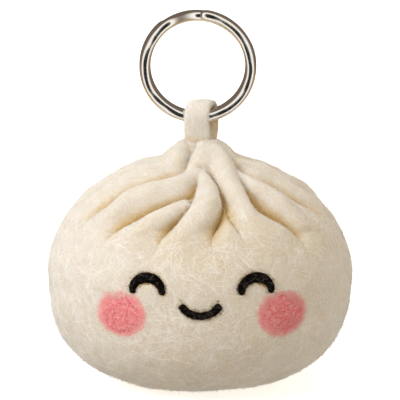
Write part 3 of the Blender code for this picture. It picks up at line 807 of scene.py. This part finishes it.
# Materials
def add_node(tree, kind, settings=None, **inputs):
    """Adds a node with its settings; an input is given a value or linked from another node's output."""
    node = tree.nodes.new(kind)
    for name, value in (settings or {}).items():
        setattr(node, name, value)
    for name, value in inputs.items():
        key = int(name[1:]) if name[0] == "i" and name[1:].isdigit() else name.replace("_", " ")
        if isinstance(value, bpy.types.NodeSocket):
            tree.links.new(value, node.inputs[key])
        else:
            node.inputs[key].default_value = value
    return node


def blank_material(name):
    material = bpy.data.materials.new(name)
    material.use_nodes = True
    material.node_tree.nodes.clear()
    return material, material.node_tree


def wool_relief(tree, place, curl, depth):
    """Curled wool threads about as far apart as curl: 1 on a thread and 0 in the gaps, and their bump."""
    layers = []
    for size, twist in ((curl, 1.6), (0.6 * curl, 2.4)):
        wisp = add_node(tree, "ShaderNodeTexNoise", Vector=place, Scale=1.0 / size, Detail=1.0,
                        Roughness=0.5, Distortion=twist)
        middle = add_node(tree, "ShaderNodeMath", {"operation": "SUBTRACT"}, i0=wisp.outputs[0], i1=0.5)
        away = add_node(tree, "ShaderNodeMath", {"operation": "ABSOLUTE"}, i0=middle.outputs[0])
        layers.append(add_node(tree, "ShaderNodeMapRange", Value=away.outputs[0], i1=0.01, i2=0.07,
                               i3=1.0, i4=0.0).outputs[0])
    threads = add_node(tree, "ShaderNodeMath", {"operation": "MAXIMUM"}, i0=layers[0], i1=layers[1])
    bump = add_node(tree, "ShaderNodeBump", Strength=0.8, Distance=depth, Height=threads.outputs[0])
    return threads, bump


def crease_shade_and_blush(tree, colour, settings, full, most):
    """The cream wool's colour with painted warm shade deep in the creases and the pink dust of the cheek
    that it lies in:
    the painted shade's share reaches most where the crease is at full."""
    crease = add_node(tree, "ShaderNodeAttribute", {"attribute_name": "crease"})
    depth = add_node(tree, "ShaderNodeMapRange", Value=crease.outputs["Fac"], i1=0.18, i2=full, i3=0.0,
                     i4=most)
    crease_shaded = add_node(tree, "ShaderNodeMix", {"data_type": "RGBA"}, Factor=depth.outputs[0], i6=colour,
                       i7=settings.crease_painted_shade)
    blush = add_node(tree, "ShaderNodeAttribute", {"attribute_name": "blush"})
    blushed = add_node(tree, "ShaderNodeMix", {"data_type": "RGBA"}, Factor=blush.outputs["Fac"],
                       i6=crease_shaded.outputs[2], i7=settings.blush_pink)
    return blushed.outputs[2]


def wool_shader(tree, colour, roughness, depth=0.0, sheen=0.25, gloss=0.15):
    """Wool lets light in to a depth, and has a faint velvet sheen at its edges and hardly any gloss."""
    shader = add_node(tree, "ShaderNodeBsdfPrincipled", Base_Color=colour, Roughness=roughness, IOR=1.5,
                      Specular_IOR_Level=gloss, Sheen_Weight=sheen, Sheen_Roughness=0.5,
                      Subsurface_Weight=depth, Subsurface_Radius=(1.0, 0.8, 0.5),
                      Subsurface_Scale=2.0 * MM)
    add_node(tree, "ShaderNodeOutputMaterial", Surface=shader.outputs[0])
    return shader


def cream_felt(settings):
    """Cream merino wool, needle-felted: a matt, soft, faintly mottled skin of light cream curled threads
    with painted shade in the tan gaps between them, painted light that makes it palest on the upper pleats
    and the strap, painted warm ochre shade deep in a crease, and pink dust round the cheeks."""
    material, tree = blank_material("cream_merino_needle_felted")
    place = add_node(tree, "ShaderNodeTexCoord").outputs["Object"]
    # Threads about 0.3 mm apart, coarser than the real 0.02 mm wool so that they show
    threads, bump = wool_relief(tree, place, 0.3 * MM, 0.04 * MM)
    mottle = add_node(tree, "ShaderNodeTexNoise", Vector=place, Scale=1.0 / (3.5 * MM), Detail=2.0)
    # Painted light and shade: this attribute lightens the wool on the lit upper pleats, left shoulder and
    # strap, and deepens it in the shade under the ends of the front pleats
    painted_light_and_shade = add_node(tree, "ShaderNodeAttribute", {"attribute_name": "painted_light_and_shade"})
    shade = add_node(tree, "ShaderNodeMath", {"operation": "SUBTRACT", "use_clamp": True},
                     i0=mottle.outputs[0], i1=painted_light_and_shade.outputs["Fac"])
    tone = add_node(tree, "ShaderNodeMix", {"data_type": "RGBA"}, Factor=shade.outputs[0],
                    i6=settings.cream_light, i7=settings.cream_shade)
    # Painted shade: the gaps between the threads are darkened towards the cream pit tone
    gap_shade = add_node(tree, "ShaderNodeMapRange", Value=threads.outputs[0], i1=0.0, i2=0.8, i3=0.42, i4=0.0)
    gap_shaded = add_node(tree, "ShaderNodeMix", {"data_type": "RGBA"}, Factor=gap_shade.outputs[0],
                      i6=tone.outputs[2], i7=settings.cream_gap_shade)
    # Painted shade: the crease attribute mixes in warm ochre deep in the creases and round the face lines
    colour = crease_shade_and_blush(tree, gap_shaded.outputs[2], settings, 0.7, 0.95)
    tree.links.new(bump.outputs[0], wool_shader(tree, colour, 0.95, depth=0.5).inputs["Normal"])
    return material


def cream_fibre(settings):
    """Single merino fibres caught on the felt: paler and cleaner than the skin under them, each with
    its own tone, with the painted crease shade and the pink dust of the place that they lie in."""
    material, tree = blank_material("cream_merino_fibre")
    tone = add_node(tree, "ShaderNodeAttribute", {"attribute_name": "tone"})
    colour = add_node(tree, "ShaderNodeMix", {"data_type": "RGBA"}, Factor=tone.outputs["Fac"],
                      i6=settings.fibre_pale, i7=settings.cream_light)
    wool_shader(tree, crease_shade_and_blush(tree, colour.outputs[2], settings, 0.75, 0.75), 0.9)
    return material


def black_felt(settings):
    """Black dyed wool, felted into the bun as thick lines: near black and matt, with painted grey highlights
    on its threads where they would catch the light."""
    material, tree = blank_material("black_dyed_wool_felted")
    place = add_node(tree, "ShaderNodeTexCoord").outputs["Object"]
    # Threads about 0.35 mm apart, coarser than real so that they show
    threads, bump = wool_relief(tree, place, 0.35 * MM, 0.12 * MM)
    # Painted highlight: the tops of the threads are given grey in place of the light they catch
    thread_highlights = add_node(tree, "ShaderNodeMapRange", Value=threads.outputs[0], i1=0.6, i2=1.0, i3=0.0, i4=0.1)
    colour = add_node(tree, "ShaderNodeMix", {"data_type": "RGBA"}, Factor=thread_highlights.outputs[0],
                      i6=settings.black_wool, i7=settings.black_painted_highlight)
    shader = wool_shader(tree, colour.outputs[2], 0.9, sheen=0.0, gloss=0.02)
    tree.links.new(bump.outputs[0], shader.inputs["Normal"])
    return material


def pink_felt(settings):
    """Pink dyed wool, felted as round patches: a warm pink skin with painted deep red shade in the pits
    between its lighter curls.
    """
    material, tree = blank_material("pink_dyed_wool_felted")
    place = add_node(tree, "ShaderNodeTexCoord").outputs["Object"]
    # Curls of wool about 0.6 mm apart, as in the photograph
    threads, bump = wool_relief(tree, place, 0.6 * MM, 0.07 * MM)
    # Painted shade: the pits between the curls are darkened towards deep red
    gap_shade = add_node(tree, "ShaderNodeMapRange", Value=threads.outputs[0], i1=0.1, i2=0.9, i3=0.9, i4=0.0)
    colour = add_node(tree, "ShaderNodeMix", {"data_type": "RGBA"}, Factor=gap_shade.outputs[0],
                      i6=settings.pink_wool, i7=settings.pink_gap_shade)
    shader = wool_shader(tree, colour.outputs[2], 0.92, depth=0.15)
    tree.links.new(bump.outputs[0], shader.inputs["Normal"])
    return material


def dyed_fibre(name, light, deep, gloss):
    """Single dyed wool fibres, each between a light and a deep tone of the dye, matt and dry."""
    material, tree = blank_material(name)
    tone = add_node(tree, "ShaderNodeAttribute", {"attribute_name": "tone"})
    colour = add_node(tree, "ShaderNodeMix", {"data_type": "RGBA"}, Factor=tone.outputs["Fac"],
                      i6=light, i7=deep)
    wool_shader(tree, colour.outputs[2], 0.9, sheen=gloss, gloss=gloss)
    return material


def nickel_plate(settings):
    """Rolled steel wire with bright nickel plate: a warm mirror, dulled a little by tumbling. The wire
    is slightly wavy from coiling, so its long reflections wander."""
    material, tree = blank_material("nickel_plated_steel_wire")
    place = add_node(tree, "ShaderNodeTexCoord").outputs["Object"]
    # Tumbling marks of about 0.4 mm
    marks = add_node(tree, "ShaderNodeTexNoise", Vector=place, Scale=1.0 / (0.4 * MM), Detail=3.0)
    rough = add_node(tree, "ShaderNodeMapRange", Value=marks.outputs[0], i1=0.3, i2=0.7, i3=0.07, i4=0.13)
    # Waves of about 6 mm along the wire
    waves = add_node(tree, "ShaderNodeTexNoise", Vector=place, Scale=1.0 / (6.0 * MM), Detail=0.0)
    wavy = add_node(tree, "ShaderNodeBump", Strength=1.0, Distance=0.55 * MM, Height=waves.outputs[0])
    bump = add_node(tree, "ShaderNodeBump", Strength=0.05, Distance=0.01 * MM, Height=marks.outputs[0],
                    Normal=wavy.outputs[0])
    shader = add_node(tree, "ShaderNodeBsdfPrincipled", Base_Color=settings.nickel, Metallic=1.0,
                      Roughness=rough.outputs[0], Normal=bump.outputs[0])
    add_node(tree, "ShaderNodeOutputMaterial", Surface=shader.outputs[0])
    return material


def matt_paper(settings):
    """Matt white backdrop paper: even and without gloss, so that it stays quiet behind the charm."""
    material, tree = blank_material("matt_backdrop_paper")
    place = add_node(tree, "ShaderNodeTexCoord").outputs["Object"]
    # Paper grain drawn at 1.5 mm
    grain = add_node(tree, "ShaderNodeTexNoise", Vector=place, Scale=1.0 / (1.5 * MM))
    bump = add_node(tree, "ShaderNodeBump", Strength=0.05, Distance=0.02 * MM, Height=grain.outputs[0])
    shader = add_node(tree, "ShaderNodeBsdfPrincipled", Base_Color=settings.paper, Roughness=0.95,
                      Normal=bump.outputs[0])
    shader.inputs["Specular IOR Level"].default_value = 0.1
    shader.inputs["Emission Color"].default_value = settings.paper
    shader.inputs["Emission Strength"].default_value = settings.paper_glow
    add_node(tree, "ShaderNodeOutputMaterial", Surface=shader.outputs[0])
    return material


# What a user would change
def colour(name, description, hex_colour):
    return FloatVectorProperty(name=name, description=description, subtype="COLOR", size=4, min=0.0,
                               max=1.0, default=linear(hex_colour))


def length(name, description, default, **limits):
    return FloatProperty(name=name, description=description, default=default, unit="LENGTH", precision=5,
                         **limits)


class FeltSettings(bpy.types.PropertyGroup):
    lump_height: length("Lump height", "How far the felt's soft lumps stand out", 0.15 * MM, min=0.0)
    fibre_width: length("Fibre width", "Width that a fibre is drawn with", 0.074 * MM, min=0.01 * MM)
    fibre_count: IntProperty(
        name="Fibres on the bun", description="Number of fibres that lie on the bun",
        default=17000, min=100)
    fuzz_count: IntProperty(
        name="Short hairs", description="Number of short hairs that stand off the bun",
        default=9000, min=10)
    fibre_pale: colour("Fibre white", "Palest tone of the single fibres", "#FFFCF5")
    cream_light: colour("Pale cream", "Pale tone of the cream wool", "#FCF7EE")
    cream_shade: colour("Deeper cream", "Deeper tone of the cream wool", "#E9DDC6")
    # Painted shade: the tone given to the tiny gaps between the cream felt's threads
    cream_gap_shade: colour("Cream pits", "Tone in the tiny gaps of the cream felt", "#CDB58C")
    # Painted shade: warm tan given deep in the pleats, round the face lines and on the strap's back leg and
    # foot
    crease_painted_shade: colour("Crease tan", "Warm tone deep in the pleats", "#DDBB72")
    blush_pink: colour("Blush", "Pink dust on the cream felt round the cheeks", "#F59C98")


class FaceSettings(bpy.types.PropertyGroup):
    left_eye_x: length("Left eye", "Sideways place of the left eye", -11.15 * MM)
    right_eye_x: length("Right eye", "Sideways place of the right eye", 12.1 * MM)
    left_cheek_x: length("Left cheek", "Sideways place of the left cheek", -16.5 * MM)
    right_cheek_x: length("Right cheek", "Sideways place of the right cheek", 17.4 * MM)
    black_wool: colour("Black wool", "Colour of the eyes and smile", "#070606")
    # Painted highlight: the grey given to the black wool's thread tops and to its fibres' top tone
    black_painted_highlight: colour("Grey hairs", "Colour of the lit hairs in the black wool", "#756D66")
    pink_wool: colour("Pink wool", "Colour of the cheeks", "#F98489")
    pink_pale: colour("Pale pink curls", "Colour of the curls on the cheeks", "#FFC9C6")
    # Painted shade: the deep red given to the pits between the cheeks' curls
    pink_gap_shade: colour("Red pits", "Colour between the curls of the cheeks", "#E05C66")


class RingSettings(bpy.types.PropertyGroup):
    ring_radius: length("Ring radius", "Outer radius of the split ring", 12.5 * MM)
    wire_width: length("Wire width", "Width of the flattened wire", 2.4 * MM)
    wire_thickness: length("Wire thickness", "Thickness of one turn of the wire", 1.15 * MM)
    strap_width: length("Strap width", "Width of the felt strap", 5.3 * MM)
    strap_thickness: length("Strap thickness", "Thickness of the felt strap", 1.7 * MM)
    nickel: colour("Nickel", "Colour of the ring's plating", "#E4E0DA")


class StageSettings(bpy.types.PropertyGroup):
    key_power: FloatProperty(
        name="Key light", description="Power of the soft light at the upper left", default=25.0,
        min=0.0, unit="POWER")
    fill_power: FloatProperty(
        name="Fill light", description="Power of the soft light at the right", default=2.0,
        min=0.0, unit="POWER")
    paper_glow: FloatProperty(
        name="Paper glow", description="Light that the paper gives off itself, as a lit table does",
        default=0.55, min=0.0)
    sky_strength: FloatProperty(
        name="Sky", description="Strength of the even light from all around", default=0.72, min=0.0)
    camera_distance: length("Camera distance", "Distance from the camera to the charm", 2.5, min=0.3)
    paper: colour("Paper", "Colour of the backdrop paper", "#FDFDFC")


def blush_values(points):
    """Share of pink dust at each point: full under a cheek, gone a millimetre outside it."""
    face = bpy.context.scene.felt_bun_face
    ragged = 0.03 * lumps(points, 1.2 * MM, 71)
    share = np.zeros(len(points))
    for cheek_x in (face.left_cheek_x, face.right_cheek_x):
        share = np.maximum(share, 1.0 - smoothstep(*BLUSH_EDGE, cheek_distance(points, cheek_x) + ragged))
    return share


def painted_light_and_shade_values(points):
    """Painted light and shade on the bun's wool: lightest on the upper pleats and the left shoulder where
    the light falls, deeper in the shade under the ends of the front pleats."""
    upper = smoothstep(37.0 * MM, 43.0 * MM, points[:, 2])
    left = smoothstep(5.0 * MM, 25.0 * MM, -points[:, 0]) * smoothstep(15.0 * MM, 28.0 * MM, points[:, 2])
    ends = np.exp(-(((points[:, 2] - 34.5 * MM) / (4.0 * MM)) ** 2)) * (points[:, 1] < 0.0)
    return 0.3 * np.maximum(upper, left) - 0.25 * ends * (1.0 - left)


def strap_painted_shade(points):
    """How much painted warm shade the strap's wool has: most on the back leg, some at the foot of the front
    one.
    """
    low = 1.0 - smoothstep(51.5 * MM, 56.5 * MM, points[:, 2])
    back = smoothstep(0.5 * MM, 2.5 * MM, points[:, 1])
    return np.maximum(0.52 * low, 0.5 * back)


# The operators, one for each piece or group of like pieces
class FELTBUN_OT_body(bpy.types.Operator):
    """Builds the pleated felt body of the bun"""
    bl_idname = "felt_bun.body"
    bl_label = "Bun body"

    def execute(self, context):
        felt = context.scene.felt_bun_felt
        face = context.scene.felt_bun_face
        mesh, crease = bun_mesh()
        points = mesh_points(mesh)
        normals = mesh_normals(mesh)
        rise = felt.lump_height * (0.8 * lumps(points, 5.0 * MM, 3) + 0.3 * lumps(points, 2.2 * MM, 5))
        rise += 0.018 * MM * lumps(points, 1.0 * MM, 7)
        for path, stroke in face_lines(face).values():
            away = line_distance(points, path, stroke)
            rise -= LINE_SINK * np.exp(-((away / LINE_SINK_REACH) ** 2))
            # Painted shade: the felt just round each face line gets a share of the warm crease shade
            crease = np.maximum(crease, 0.7 * (1.0 - smoothstep(1.0, 1.5, away)))
        for cheek_x in (face.left_cheek_x, face.right_cheek_x):
            rise -= CHEEK_SINK * (1.0 - smoothstep(0.45, 0.8, cheek_distance(points, cheek_x)))
        points += normals * rise[:, None]
        points[:, 2] = np.maximum(points[:, 2], 0.0)
        set_mesh_points(mesh, points)
        keep_values(mesh, "crease", crease)
        keep_values(mesh, "blush", blush_values(points))
        keep_values(mesh, "painted_light_and_shade", painted_light_and_shade_values(points))
        add_piece("bun_felt", mesh, cream_felt(felt), "bun", ["bun_body"])
        return {"FINISHED"}


class FELTBUN_OT_fibres(bpy.types.Operator):
    """Lays loose fibres over the bun and stands short hairs on it"""
    bl_idname = "felt_bun.fibres"
    bl_label = "Fibres on the bun"

    def execute(self, context):
        felt = context.scene.felt_bun_felt
        bun = bpy.data.objects["bun_felt"].data
        material = cream_fibre(felt)
        tree = tree_of(bun)
        crease = read(bun.attributes["crease"].data, "value", 1)[:, 0]

        # Each fibre carries the painted crease shade of the felt under it, and its pink dust
        def values(spots):
            return {"crease": crease[spots[3]].mean(axis=1), "blush": blush_values(spots[0])}
        # The long fibres show on the open lower body, and hardly in the pleats
        lower = 1.0 - 0.85 * smoothstep(32.0 * MM, 40.0 * MM, mesh_points(bun)[:, 2])
        for group, (name, share) in enumerate(FIBRE_SHARES.items()):
            draw = np.random.default_rng(100 + group)
            weight = lower if name == "bun_long_fibres" else None
            spots = spots_on(bun, round(share * felt.fibre_count), draw, weight)
            lay_fibres(name, LAID[name], tree, spots, draw, material, values(spots))
        draw = np.random.default_rng(200)
        spots = spots_on(bun, felt.fuzz_count, draw)
        stand_hairs("bun_short_hairs", spots, draw, material, values(spots))
        return {"FINISHED"}


class FELTBUN_OT_strap(bpy.types.Operator):
    """Builds the felt strap loop that holds the ring"""
    bl_idname = "felt_bun.strap"
    bl_label = "Strap loop"

    def execute(self, context):
        felt = context.scene.felt_bun_felt
        sizes = context.scene.felt_bun_ring
        deep = LOOP_HOLE_HALF_DEPTH + 0.5 * sizes.strap_thickness
        tall = LOOP_HOLE_HALF_HEIGHT + 0.5 * sizes.strap_thickness
        foot = LEG_FOOT_Z - RING_AXIS_Z
        front = []
        for number in range(LEG_STEPS):
            share = number / LEG_STEPS
            spread = LEG_SPREAD_AT_FOOT + (deep - LEG_SPREAD_AT_FOOT) * float(smoothstep(0, 1, share))
            front.append((-spread, foot * (1.0 - share), 0.0))
        arch = []
        for number in range(ARCH_STEPS + 1):
            angle = math.pi * (1.0 - number / ARCH_STEPS)
            arch.append((deep * math.cos(angle), tall * math.sin(angle), 0.0))
        points = front + arch + [(-x, y, z) for x, y, z in reversed(front)]
        guide = section_outline(sizes.strap_thickness, sizes.strap_width, STRAP_SECTION_POWER,
                                STRAP_SECTION_STEPS)

        def place(co):
            return (LOOP_X + co.z + LOOP_SHEAR * co.x, co.x, RING_AXIS_Z + co.y)
        mesh = swept_mesh("strap_felt", points, [1.0] * len(points), guide, place)
        roughen(mesh, [(0.05 * MM, 2.5 * MM, 21), (0.012 * MM, 0.9 * MM, 22)])
        keep_values(mesh, "crease", strap_painted_shade(mesh_points(mesh)))
        keep_values(mesh, "painted_light_and_shade", np.full(len(mesh.vertices), STRAP_PAINTED_LIGHT))
        add_piece("strap_felt", mesh, cream_felt(felt), "bun", ["hanging_loop"])

        draw = np.random.default_rng(300)
        spots = spots_on(mesh, STRAP_FIBRES, draw, upright=True)
        material = cream_fibre(felt)
        # The strap's fibres carry its painted shade too
        values = {"crease": strap_painted_shade(spots[0])}
        lay_fibres("strap_fibres", LAID["strap_fibres"], tree_of(mesh), spots, draw, material,
                   values)
        stand_hairs("strap_short_hairs", spots, draw, material, values)
        return {"FINISHED"}


class FELTBUN_OT_face_lines(bpy.types.Operator):
    """Builds the two closed eyes and the smile of black felt, with their stray fibres"""
    bl_idname = "felt_bun.face_lines"
    bl_label = "Eyes and smile"

    def execute(self, context):
        face = context.scene.felt_bun_face
        black = black_felt(face)
        # The black fibres range from black to the painted grey highlight
        hairs = dyed_fibre("black_dyed_wool_fibre", face.black_wool, face.black_painted_highlight, 0.02)
        bun = bpy.data.objects["bun_felt"].data
        bun_tree = tree_of(bun)
        for number, (name, (path, stroke)) in enumerate(face_lines(face).items()):
            mesh = swept_mesh(name + "_felt", *round_ended(path, stroke))
            roughen(mesh, [(0.03 * MM, 1.2 * MM, 31 + number), (0.04 * MM, 0.4 * MM, 41 + number)])
            add_piece(name + "_felt", mesh, black, "bun", [name])
            draw = np.random.default_rng(400 + number)
            front = np.maximum(0.0, -mesh_normals(mesh)[:, 1]) + 0.1
            spots = spots_on(mesh, LINE_FIBRES, draw, front)
            lay_fibres(name + "_fibres", LAID["line_fibres"], tree_of(mesh), spots, draw, hairs,
                       {})
            # Its edge is ragged: black hairs run out over the cream felt
            rim = rim_share(line_distance(mesh_points(bun), path, stroke), LINE_RIM_EDGE)
            spots = spots_on(bun, LINE_FIBRES, draw, rim)
            lay_fibres(name + "_rim", LAID["line_rim"], bun_tree, spots, draw, hairs, {})
        return {"FINISHED"}


class FELTBUN_OT_cheeks(bpy.types.Operator):
    """Builds the two pink felt cheeks with their curls"""
    bl_idname = "felt_bun.cheeks"
    bl_label = "Cheeks"

    def execute(self, context):
        face = context.scene.felt_bun_face
        pink = pink_felt(face)
        curl = dyed_fibre("pink_dyed_wool_fibre", face.pink_pale, face.pink_wool, 0.15)
        bun = bpy.data.objects["bun_felt"].data
        bun_tree = tree_of(bun)
        cheeks = (("left_cheek", face.left_cheek_x), ("right_cheek", face.right_cheek_x))
        for number, (name, cheek_x) in enumerate(cheeks):
            bm = ball(CHEEK_COLUMNS, CHEEK_ROWS)
            for vertex in bm.verts:
                across, up, out = vertex.co
                lift = (CHEEK_PROUD if out > 0 else CHEEK_DEPTH) * out - CHEEK_TUCK
                vertex.co = front_point(cheek_x + CHEEK_SHOWN * CHEEK_HALF_WIDTH * across,
                                        CHEEK_Z + CHEEK_SHOWN * CHEEK_HALF_HEIGHT * up, lift)
            mesh = mesh_from_bmesh(name + "_felt", bm)
            roughen(mesh, [(0.06 * MM, 1.5 * MM, 51 + number), (0.05 * MM, 0.55 * MM, 61 + number)])
            add_piece(name + "_felt", mesh, pink, "bun", [name])
            draw = np.random.default_rng(500 + number)
            spots = spots_on(mesh, CHEEK_FIBRES, draw, np.maximum(0.0, -mesh_normals(mesh)[:, 1]))
            lay_fibres(name + "_fibres", LAID["cheek_fibres"], tree_of(mesh), spots, draw, curl,
                       {})
            # The pink wool thins out over the cream felt round the cheek
            rim = rim_share(cheek_distance(mesh_points(bun), cheek_x), CHEEK_RIM_EDGE)
            spots = spots_on(bun, CHEEK_RIM_FIBRES, draw, rim)
            lay_fibres(name + "_rim", LAID["cheek_rim"], bun_tree, spots, draw, curl, {})
        return {"FINISHED"}


class FELTBUN_OT_key_ring(bpy.types.Operator):
    """Builds the split ring of flattened nickel-plated wire"""
    bl_idname = "felt_bun.key_ring"
    bl_label = "Split ring"

    def execute(self, context):
        sizes = context.scene.felt_bun_ring
        wire_radius = sizes.ring_radius - 0.5 * sizes.wire_width
        half_pitch = 0.5 * (sizes.wire_thickness + COIL_GAP)
        last = 2 * math.pi + CROSSING_START - RING_END_CLEARANCE
        first = RING_END_CLEARANCE
        steps = round((last - first) / (2 * math.pi) * RING_STEPS_A_TURN)
        points, radii = [], []
        for number in range(steps + 1):
            angle = first + (last - first) * number / steps
            depth = half_pitch * (2.0 * float(smoothstep(CROSSING_START, CROSSING_END, angle)) - 1.0)
            dip = float(smoothstep(*DIP_STARTS, angle) * (1.0 - smoothstep(*DIP_ENDS, angle)))
            radius = wire_radius - CROSSING_DIP * dip
            points.append((radius * math.sin(angle), radius * math.cos(angle), depth))
            from_end = min(number, steps - number) / 4
            radii.append(1.0 - 0.35 * max(0.0, 1.0 - from_end) ** 2)
        guide = section_outline(sizes.wire_width, sizes.wire_thickness, WIRE_SECTION_POWER,
                                WIRE_SECTION_STEPS)

        def place(co):
            up = co.y + wire_radius
            y = co.z * math.cos(RING_LEAN) - up * math.sin(RING_LEAN)
            z = co.z * math.sin(RING_LEAN) + up * math.cos(RING_LEAN)
            return (RING_X + co.x, y, RING_AXIS_Z + z)
        mesh = swept_mesh("split_ring", points, radii, guide, place)
        add_piece("split_ring", mesh, nickel_plate(sizes), "ring", ["key_ring"])
        return {"FINISHED"}


class FELTBUN_OT_stage(bpy.types.Operator):
    """Sets up the paper floor, the soft light and the camera at the photograph's angle"""
    bl_idname = "felt_bun.stage"
    bl_label = "Floor, light and camera"

    def execute(self, context):
        stage = context.scene.felt_bun_stage
        scene = context.scene
        bm = bmesh.new()
        bmesh.ops.create_circle(bm, cap_ends=True, segments=96, radius=FLOOR_RADIUS)
        floor = bpy.data.objects.new("paper_floor", mesh_from_bmesh("paper_floor", bm))
        floor.data.materials.append(matt_paper(stage))
        scene.collection.objects.link(floor)
        floor.visible_diffuse = False
        floor.visible_glossy = False

        lamps = (
            ("soft_key", stage.key_power, 0.9, (-1.45, -0.95, 1.2)),
            ("soft_fill", stage.fill_power, 0.9, (1.4, -0.5, 0.75)),
        )
        for name, power, size, place in lamps:
            light = bpy.data.lights.new(name, "AREA")
            light.color = linear("#F2F6FF")[:3]
            light.energy = power
            light.size = size
            lamp = bpy.data.objects.new(name, light)
            lamp.location = place
            lamp.visible_glossy = False
            aim = Vector(place) - Vector((0.0, 0.0, 0.03))
            lamp.rotation_euler = aim.to_track_quat("Z", "Y").to_euler()
            scene.collection.objects.link(lamp)

        world = bpy.data.worlds.new("light_tent")
        world.use_nodes = True
        tree = world.node_tree
        tree.nodes.clear()
        way = add_node(tree, "ShaderNodeTexCoord").outputs["Generated"]
        height = add_node(tree, "ShaderNodeSeparateXYZ", Vector=way)
        # The tent is a little brighter overhead, and the paper itself sheds no light on the charm
        ceiling = add_node(tree, "ShaderNodeMapRange", Value=height.outputs[2], i1=-1.0, i2=1.0,
                           i3=0.9 * stage.sky_strength, i4=1.15 * stage.sky_strength)
        # The ring's polish mirrors the white tent, its dark opening in front and the dim room behind
        front = add_node(tree, "ShaderNodeVectorMath", {"operation": "DOT_PRODUCT"}, i0=way,
                         i1=(0.0, -math.cos(OPENING_TILT), math.sin(OPENING_TILT)))
        opening = add_node(tree, "ShaderNodeMapRange", {"interpolation_type": "SMOOTHSTEP"},
                           Value=front.outputs["Value"], i1=math.cos(OPENING_EDGE[1]),
                           i2=math.cos(OPENING_EDGE[0]), i3=1.0, i4=0.02)
        # Beyond the white cloth close to the opening the ring mirrors the dim room: grey-brown at its
        # sides and the warm wood of the table below
        below = add_node(tree, "ShaderNodeMapRange", {"interpolation_type": "SMOOTHSTEP"},
                         Value=height.outputs[2], i1=-0.1, i2=-0.75, i3=0.0, i4=1.0)
        room = add_node(tree, "ShaderNodeMix", {"data_type": "RGBA"}, Factor=below.outputs[0],
                        i6=linear("#786B60"), i7=linear("#C9AC86"))
        aside = add_node(tree, "ShaderNodeMapRange", {"interpolation_type": "SMOOTHSTEP"},
                         Value=front.outputs["Value"], i1=math.cos(CLOTH_EDGE[1]),
                         i2=math.cos(CLOTH_EDGE[0]), i3=0.0, i4=1.0)
        cloth = add_node(tree, "ShaderNodeMix", {"data_type": "RGBA"}, Factor=aside.outputs[0],
                         i6=room.outputs[2], i7=(1.25, 1.23, 1.20, 1.0))
        tent = add_node(tree, "ShaderNodeBackground", Color=cloth.outputs[2], Strength=opening.outputs[0])
        even = add_node(tree, "ShaderNodeBackground", Color=linear("#FFF4E4"), Strength=ceiling.outputs[0])
        light_path = add_node(tree, "ShaderNodeLightPath")
        either = add_node(tree, "ShaderNodeMixShader", i0=light_path.outputs["Is Glossy Ray"],
                          i1=even.outputs[0], i2=tent.outputs[0])
        add_node(tree, "ShaderNodeOutputWorld", Surface=either.outputs[0])
        scene.world = world
        scene.view_settings.view_transform = "Standard"

        camera = bpy.data.cameras.new("photo_camera")
        camera.sensor_width = 36.0
        camera.lens = 36.0 * stage.camera_distance / VIEW_WIDTH
        eye = bpy.data.objects.new("photo_camera", camera)
        towards = Vector((0.0, -math.cos(VIEW_ELEVATION), math.sin(VIEW_ELEVATION)))
        up = Vector((0.0, math.sin(VIEW_ELEVATION), math.cos(VIEW_ELEVATION)))
        eye.location = towards * stage.camera_distance + up * VIEW_CENTRE_UP + Vector((VIEW_CENTRE_X, 0, 0))
        eye.rotation_euler = (0.5 * math.pi - VIEW_ELEVATION, 0.0, 0.0)
        scene.collection.objects.link(eye)
        scene.camera = eye
        return {"FINISHED"}


STEPS = (
    FELTBUN_OT_body,
    FELTBUN_OT_fibres,
    FELTBUN_OT_strap,
    FELTBUN_OT_face_lines,
    FELTBUN_OT_cheeks,
    FELTBUN_OT_key_ring,
    FELTBUN_OT_stage,
)


class FELTBUN_PT_sidebar(bpy.types.Panel):
    """Lists the charm's pieces and settings"""
    bl_idname = "FELTBUN_PT_sidebar"
    bl_label = "Felt Bun"
    bl_space_type = "VIEW_3D"
    bl_region_type = "UI"
    bl_category = "Felt Bun"

    def draw(self, context):
        for step in STEPS:
            self.layout.operator(step.bl_idname)
        scene = context.scene
        for group in (scene.felt_bun_felt, scene.felt_bun_face, scene.felt_bun_ring, scene.felt_bun_stage):
            box = self.layout.box()
            for name in group.__annotations__:
                box.prop(group, name)


GROUPS = {
    "felt_bun_felt": FeltSettings,
    "felt_bun_face": FaceSettings,
    "felt_bun_ring": RingSettings,
    "felt_bun_stage": StageSettings,
}


def register():
    for kind in (*GROUPS.values(), *STEPS, FELTBUN_PT_sidebar):
        bpy.utils.register_class(kind)
    for name, group in GROUPS.items():
        setattr(bpy.types.Scene, name, PointerProperty(type=group))


def unregister():
    for name in GROUPS:
        delattr(bpy.types.Scene, name)
    for kind in reversed((*GROUPS.values(), *STEPS, FELTBUN_PT_sidebar)):
        bpy.utils.unregister_class(kind)


def main():
    register()
    bpy.ops.felt_bun.body()
    bpy.ops.felt_bun.fibres()
    bpy.ops.felt_bun.strap()
    bpy.ops.felt_bun.face_lines()
    bpy.ops.felt_bun.cheeks()
    bpy.ops.felt_bun.key_ring()
    bpy.ops.felt_bun.stage()


if __name__ == "__main__":
    main()
